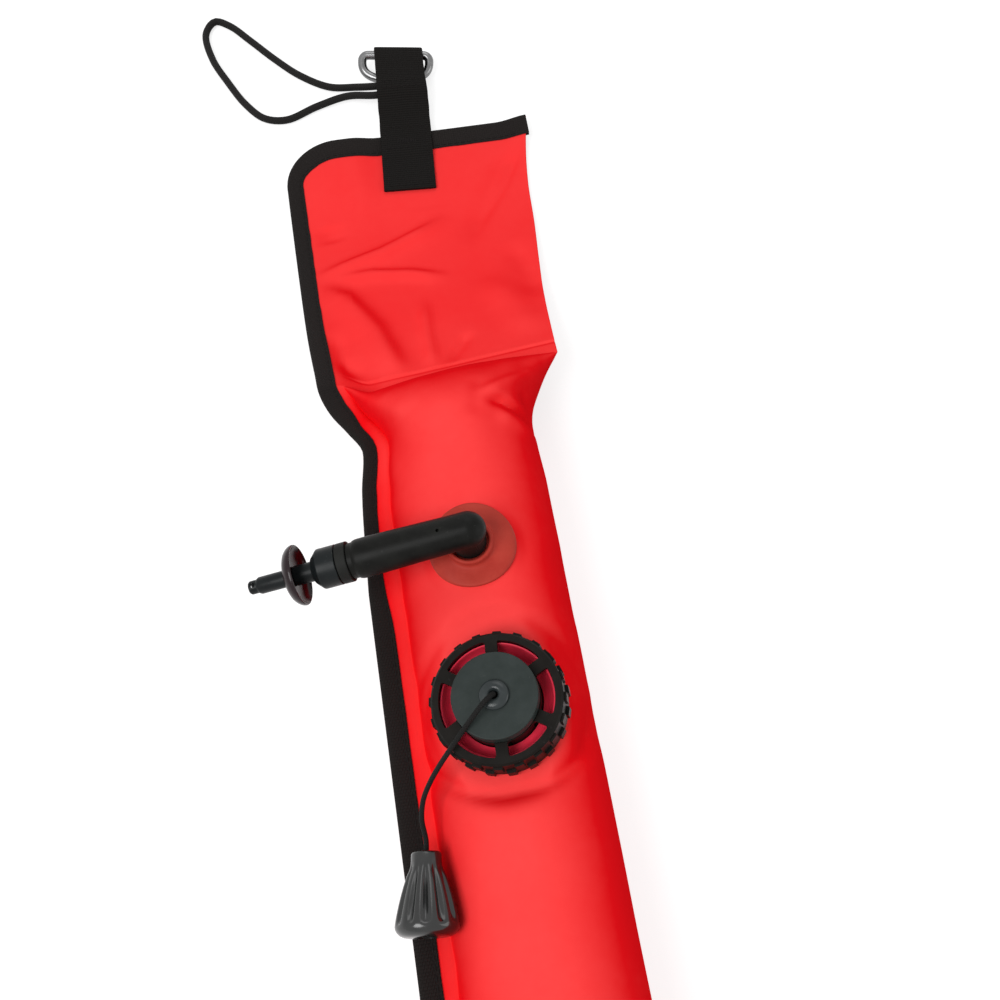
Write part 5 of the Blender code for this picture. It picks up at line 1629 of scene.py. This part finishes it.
def make_knob():
    """Fluted knob: a plain neck, a flare with rounded ribs between grooves, and a smooth rounded foot."""
    columns = KNOB_FLUTES * 12
    sections = []
    for height, radius, depth in KNOB_LEVELS:
        row = []
        for k in range(columns):
            turn = math.tau * k / columns
            wave = 0.5 + 0.5 * math.cos(turn * KNOB_FLUTES)
            row.append(Vector((*at_angle(radius - GROOVE_DEPTH * depth * wave**GROOVE_POWER, turn), height)))
        sections.append(row)
    bm = swept(sections)
    knob = finished(
        "fluted_knob", bm, KNOB, knob_rubber, "dump_valve", "pull_knob", "gloss_rubber", corner=45.0
    )
    bore = turned([(0.0, -1.0), (1.3, -1.0), (1.3, 20.0), (3.4, 20.0), (3.4, 29.0), (0.0, 29.0)], 40)
    cut(knob, [tool_piece(bore, KNOB)])
    knob.data.set_sharp_from_angle(angle=math.radians(45.0))
    ball = [(0.0, 20.4), (1.2, 20.4), (2.1, 21.0), (2.4, 21.8), (2.4, 22.8), (2.1, 23.6)]
    ball += [(1.2, 24.2), (0.0, 24.2)]
    knot = turned_piece(
        "knob_knot", ball, KNOB, pull_cord_cover, "dump_valve", "knob_cord_knot", "black_cord", 32, 0.0
    )
    return knob, knot


def make_cords(knob, knob_knot):
    piece, path, length = make_cord(
        "elastic_loop", BUNGEE_ROUTE, BUNGEE_DIAMETER, elastic_cover, "root", "bungee_loop", "black_cord", 2.0
    )
    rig.cord(
        piece, exit=path[0], length=length, diameter=BUNGEE_DIAMETER * MM, far_end="object", stiffness="limp",
        lay="loose", path=path,
    )
    piece, path, length = make_cord(
        "valve_cord", pull_cord_route(), PULL_CORD_DIAMETER, pull_cord_cover, "dump_valve", "pull_cord",
        "black_cord", 1.2,
    )
    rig.cord(
        piece, exit=path[0], length=length, diameter=PULL_CORD_DIAMETER * MM, far_end="knot",
        stiffness="limp", lay="loose", path=path, with_pieces=[knob, knob_knot],
    )


def finish_inner_pieces():
    """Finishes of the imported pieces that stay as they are."""
    finishes = {
        "inflator_piston": black_plastic,
        "inflator_seal": seal_rubber,
        "inflator_spring": spring_wire,
        "opv_gasket": seal_rubber,
        "opv_poppet": black_plastic,
        "opv_poppet_seal": seal_rubber,
        "opv_spring": spring_wire,
    }
    for node, material in finishes.items():
        for slot in frame["nodes"][node].material_slots:
            slot.material = material


def make_camera():
    data = bpy.data.cameras.new("camera")
    data.lens = CAMERA_LENS
    data.sensor_width = 36.0
    data.clip_start = 0.01
    camera = bpy.data.objects.new("camera", data)
    bpy.context.collection.objects.link(camera)
    camera.location = (BUOY @ CAMERA_PLACE) * MM
    camera.rotation_euler = (math.radians(90.0) - CAMERA_ELEVATION, 0.0, -CAMERA_AZIMUTH)
    bpy.context.scene.camera = camera


def show_white(tree, plain, white_shader):
    """Shader that camera, glossy and transmission rays see as white, and other rays as plain."""
    path = tree.nodes.new("ShaderNodeLightPath")
    seen = math_node(tree, "MAXIMUM", path.outputs["Is Camera Ray"], path.outputs["Is Glossy Ray"])
    seen = math_node(tree, "MAXIMUM", seen, path.outputs["Is Transmission Ray"])
    mix = tree.nodes.new("ShaderNodeMixShader")
    tree.links.new(seen, mix.inputs[0])
    tree.links.new(plain, mix.inputs[1])
    tree.links.new(white_shader, mix.inputs[2])
    return mix.outputs[0]


def set_world():
    world = bpy.data.worlds.new("studio")
    bpy.context.scene.world = world
    world.use_nodes = True
    tree = world.node_tree
    ambient = tree.nodes["Background"]
    set_inputs(ambient, Color=WHITE, Strength=WORLD_STRENGTH)
    white = tree.nodes.new("ShaderNodeBackground")
    set_inputs(white, Color=WHITE, Strength=1.0)
    seen = show_white(tree, ambient.outputs[0], white.outputs[0])
    tree.links.new(seen, tree.nodes["World Output"].inputs["Surface"])


def grey(value):
    return (value, value, value, 1.0)


def make_floor():
    """Floor that lights the object as a grey one and is seen as nearly white, with the object's shadow."""
    bm = bmesh.new()
    bmesh.ops.create_grid(bm, x_segments=1, y_segments=1, size=FLOOR_HALF)
    mesh = bpy.data.meshes.new("floor")
    bm.to_mesh(mesh)
    bm.free()
    floor = bpy.data.objects.new("floor", mesh)
    floor.location.z = -FLOOR_DROP
    bpy.context.collection.objects.link(floor)
    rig.stage(floor)
    material, tree, shader = new_material("pale_floor", 0.9)
    set_inputs(shader, Base_Color=grey(FLOOR_GREY), Specular_IOR_Level=0.0)
    diffuse = tree.nodes.new("ShaderNodeBsdfDiffuse")
    set_inputs(diffuse, Color=grey(SEEN_FLOOR_GREY))
    glow = tree.nodes.new("ShaderNodeEmission")
    set_inputs(glow, Strength=SEEN_FLOOR_GLOW)
    both = tree.nodes.new("ShaderNodeAddShader")
    tree.links.new(diffuse.outputs[0], both.inputs[0])
    tree.links.new(glow.outputs[0], both.inputs[1])
    seen = show_white(tree, shader.outputs[0], both.outputs[0])
    tree.links.new(seen, tree.nodes["Material Output"].inputs["Surface"])
    mesh.materials.append(material)


def set_lamps():
    for name, spot, size, power in LAMPS:
        data = bpy.data.lights.new(name, "AREA")
        data.shape = "DISK"
        data.size = size
        data.energy = power
        lamp = bpy.data.objects.new(name, data)
        bpy.context.collection.objects.link(lamp)
        lamp.location = spot
        lamp.rotation_euler = (LAMP_AIM - Vector(spot)).to_track_quat("-Z", "Y").to_euler()
    bpy.context.scene.view_settings.view_transform = "Standard"


make_camera()
set_world()
make_floor()
set_lamps()
knob, knob_knot = make_knob()
make_cords(knob, knob_knot)
make_skin()
make_binding()
make_binding_stitches()
make_strap()
make_tab_stitches()
make_ring()
make_inflator()
make_valve()
finish_inner_pieces()

with open("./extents.json", "w") as file:
    boxes = {"packed": packed_box, "dressed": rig.bounds()}
    json.dump({name: [list(map(float, corner)) for corner in box] for name, box in boxes.items()}, file)
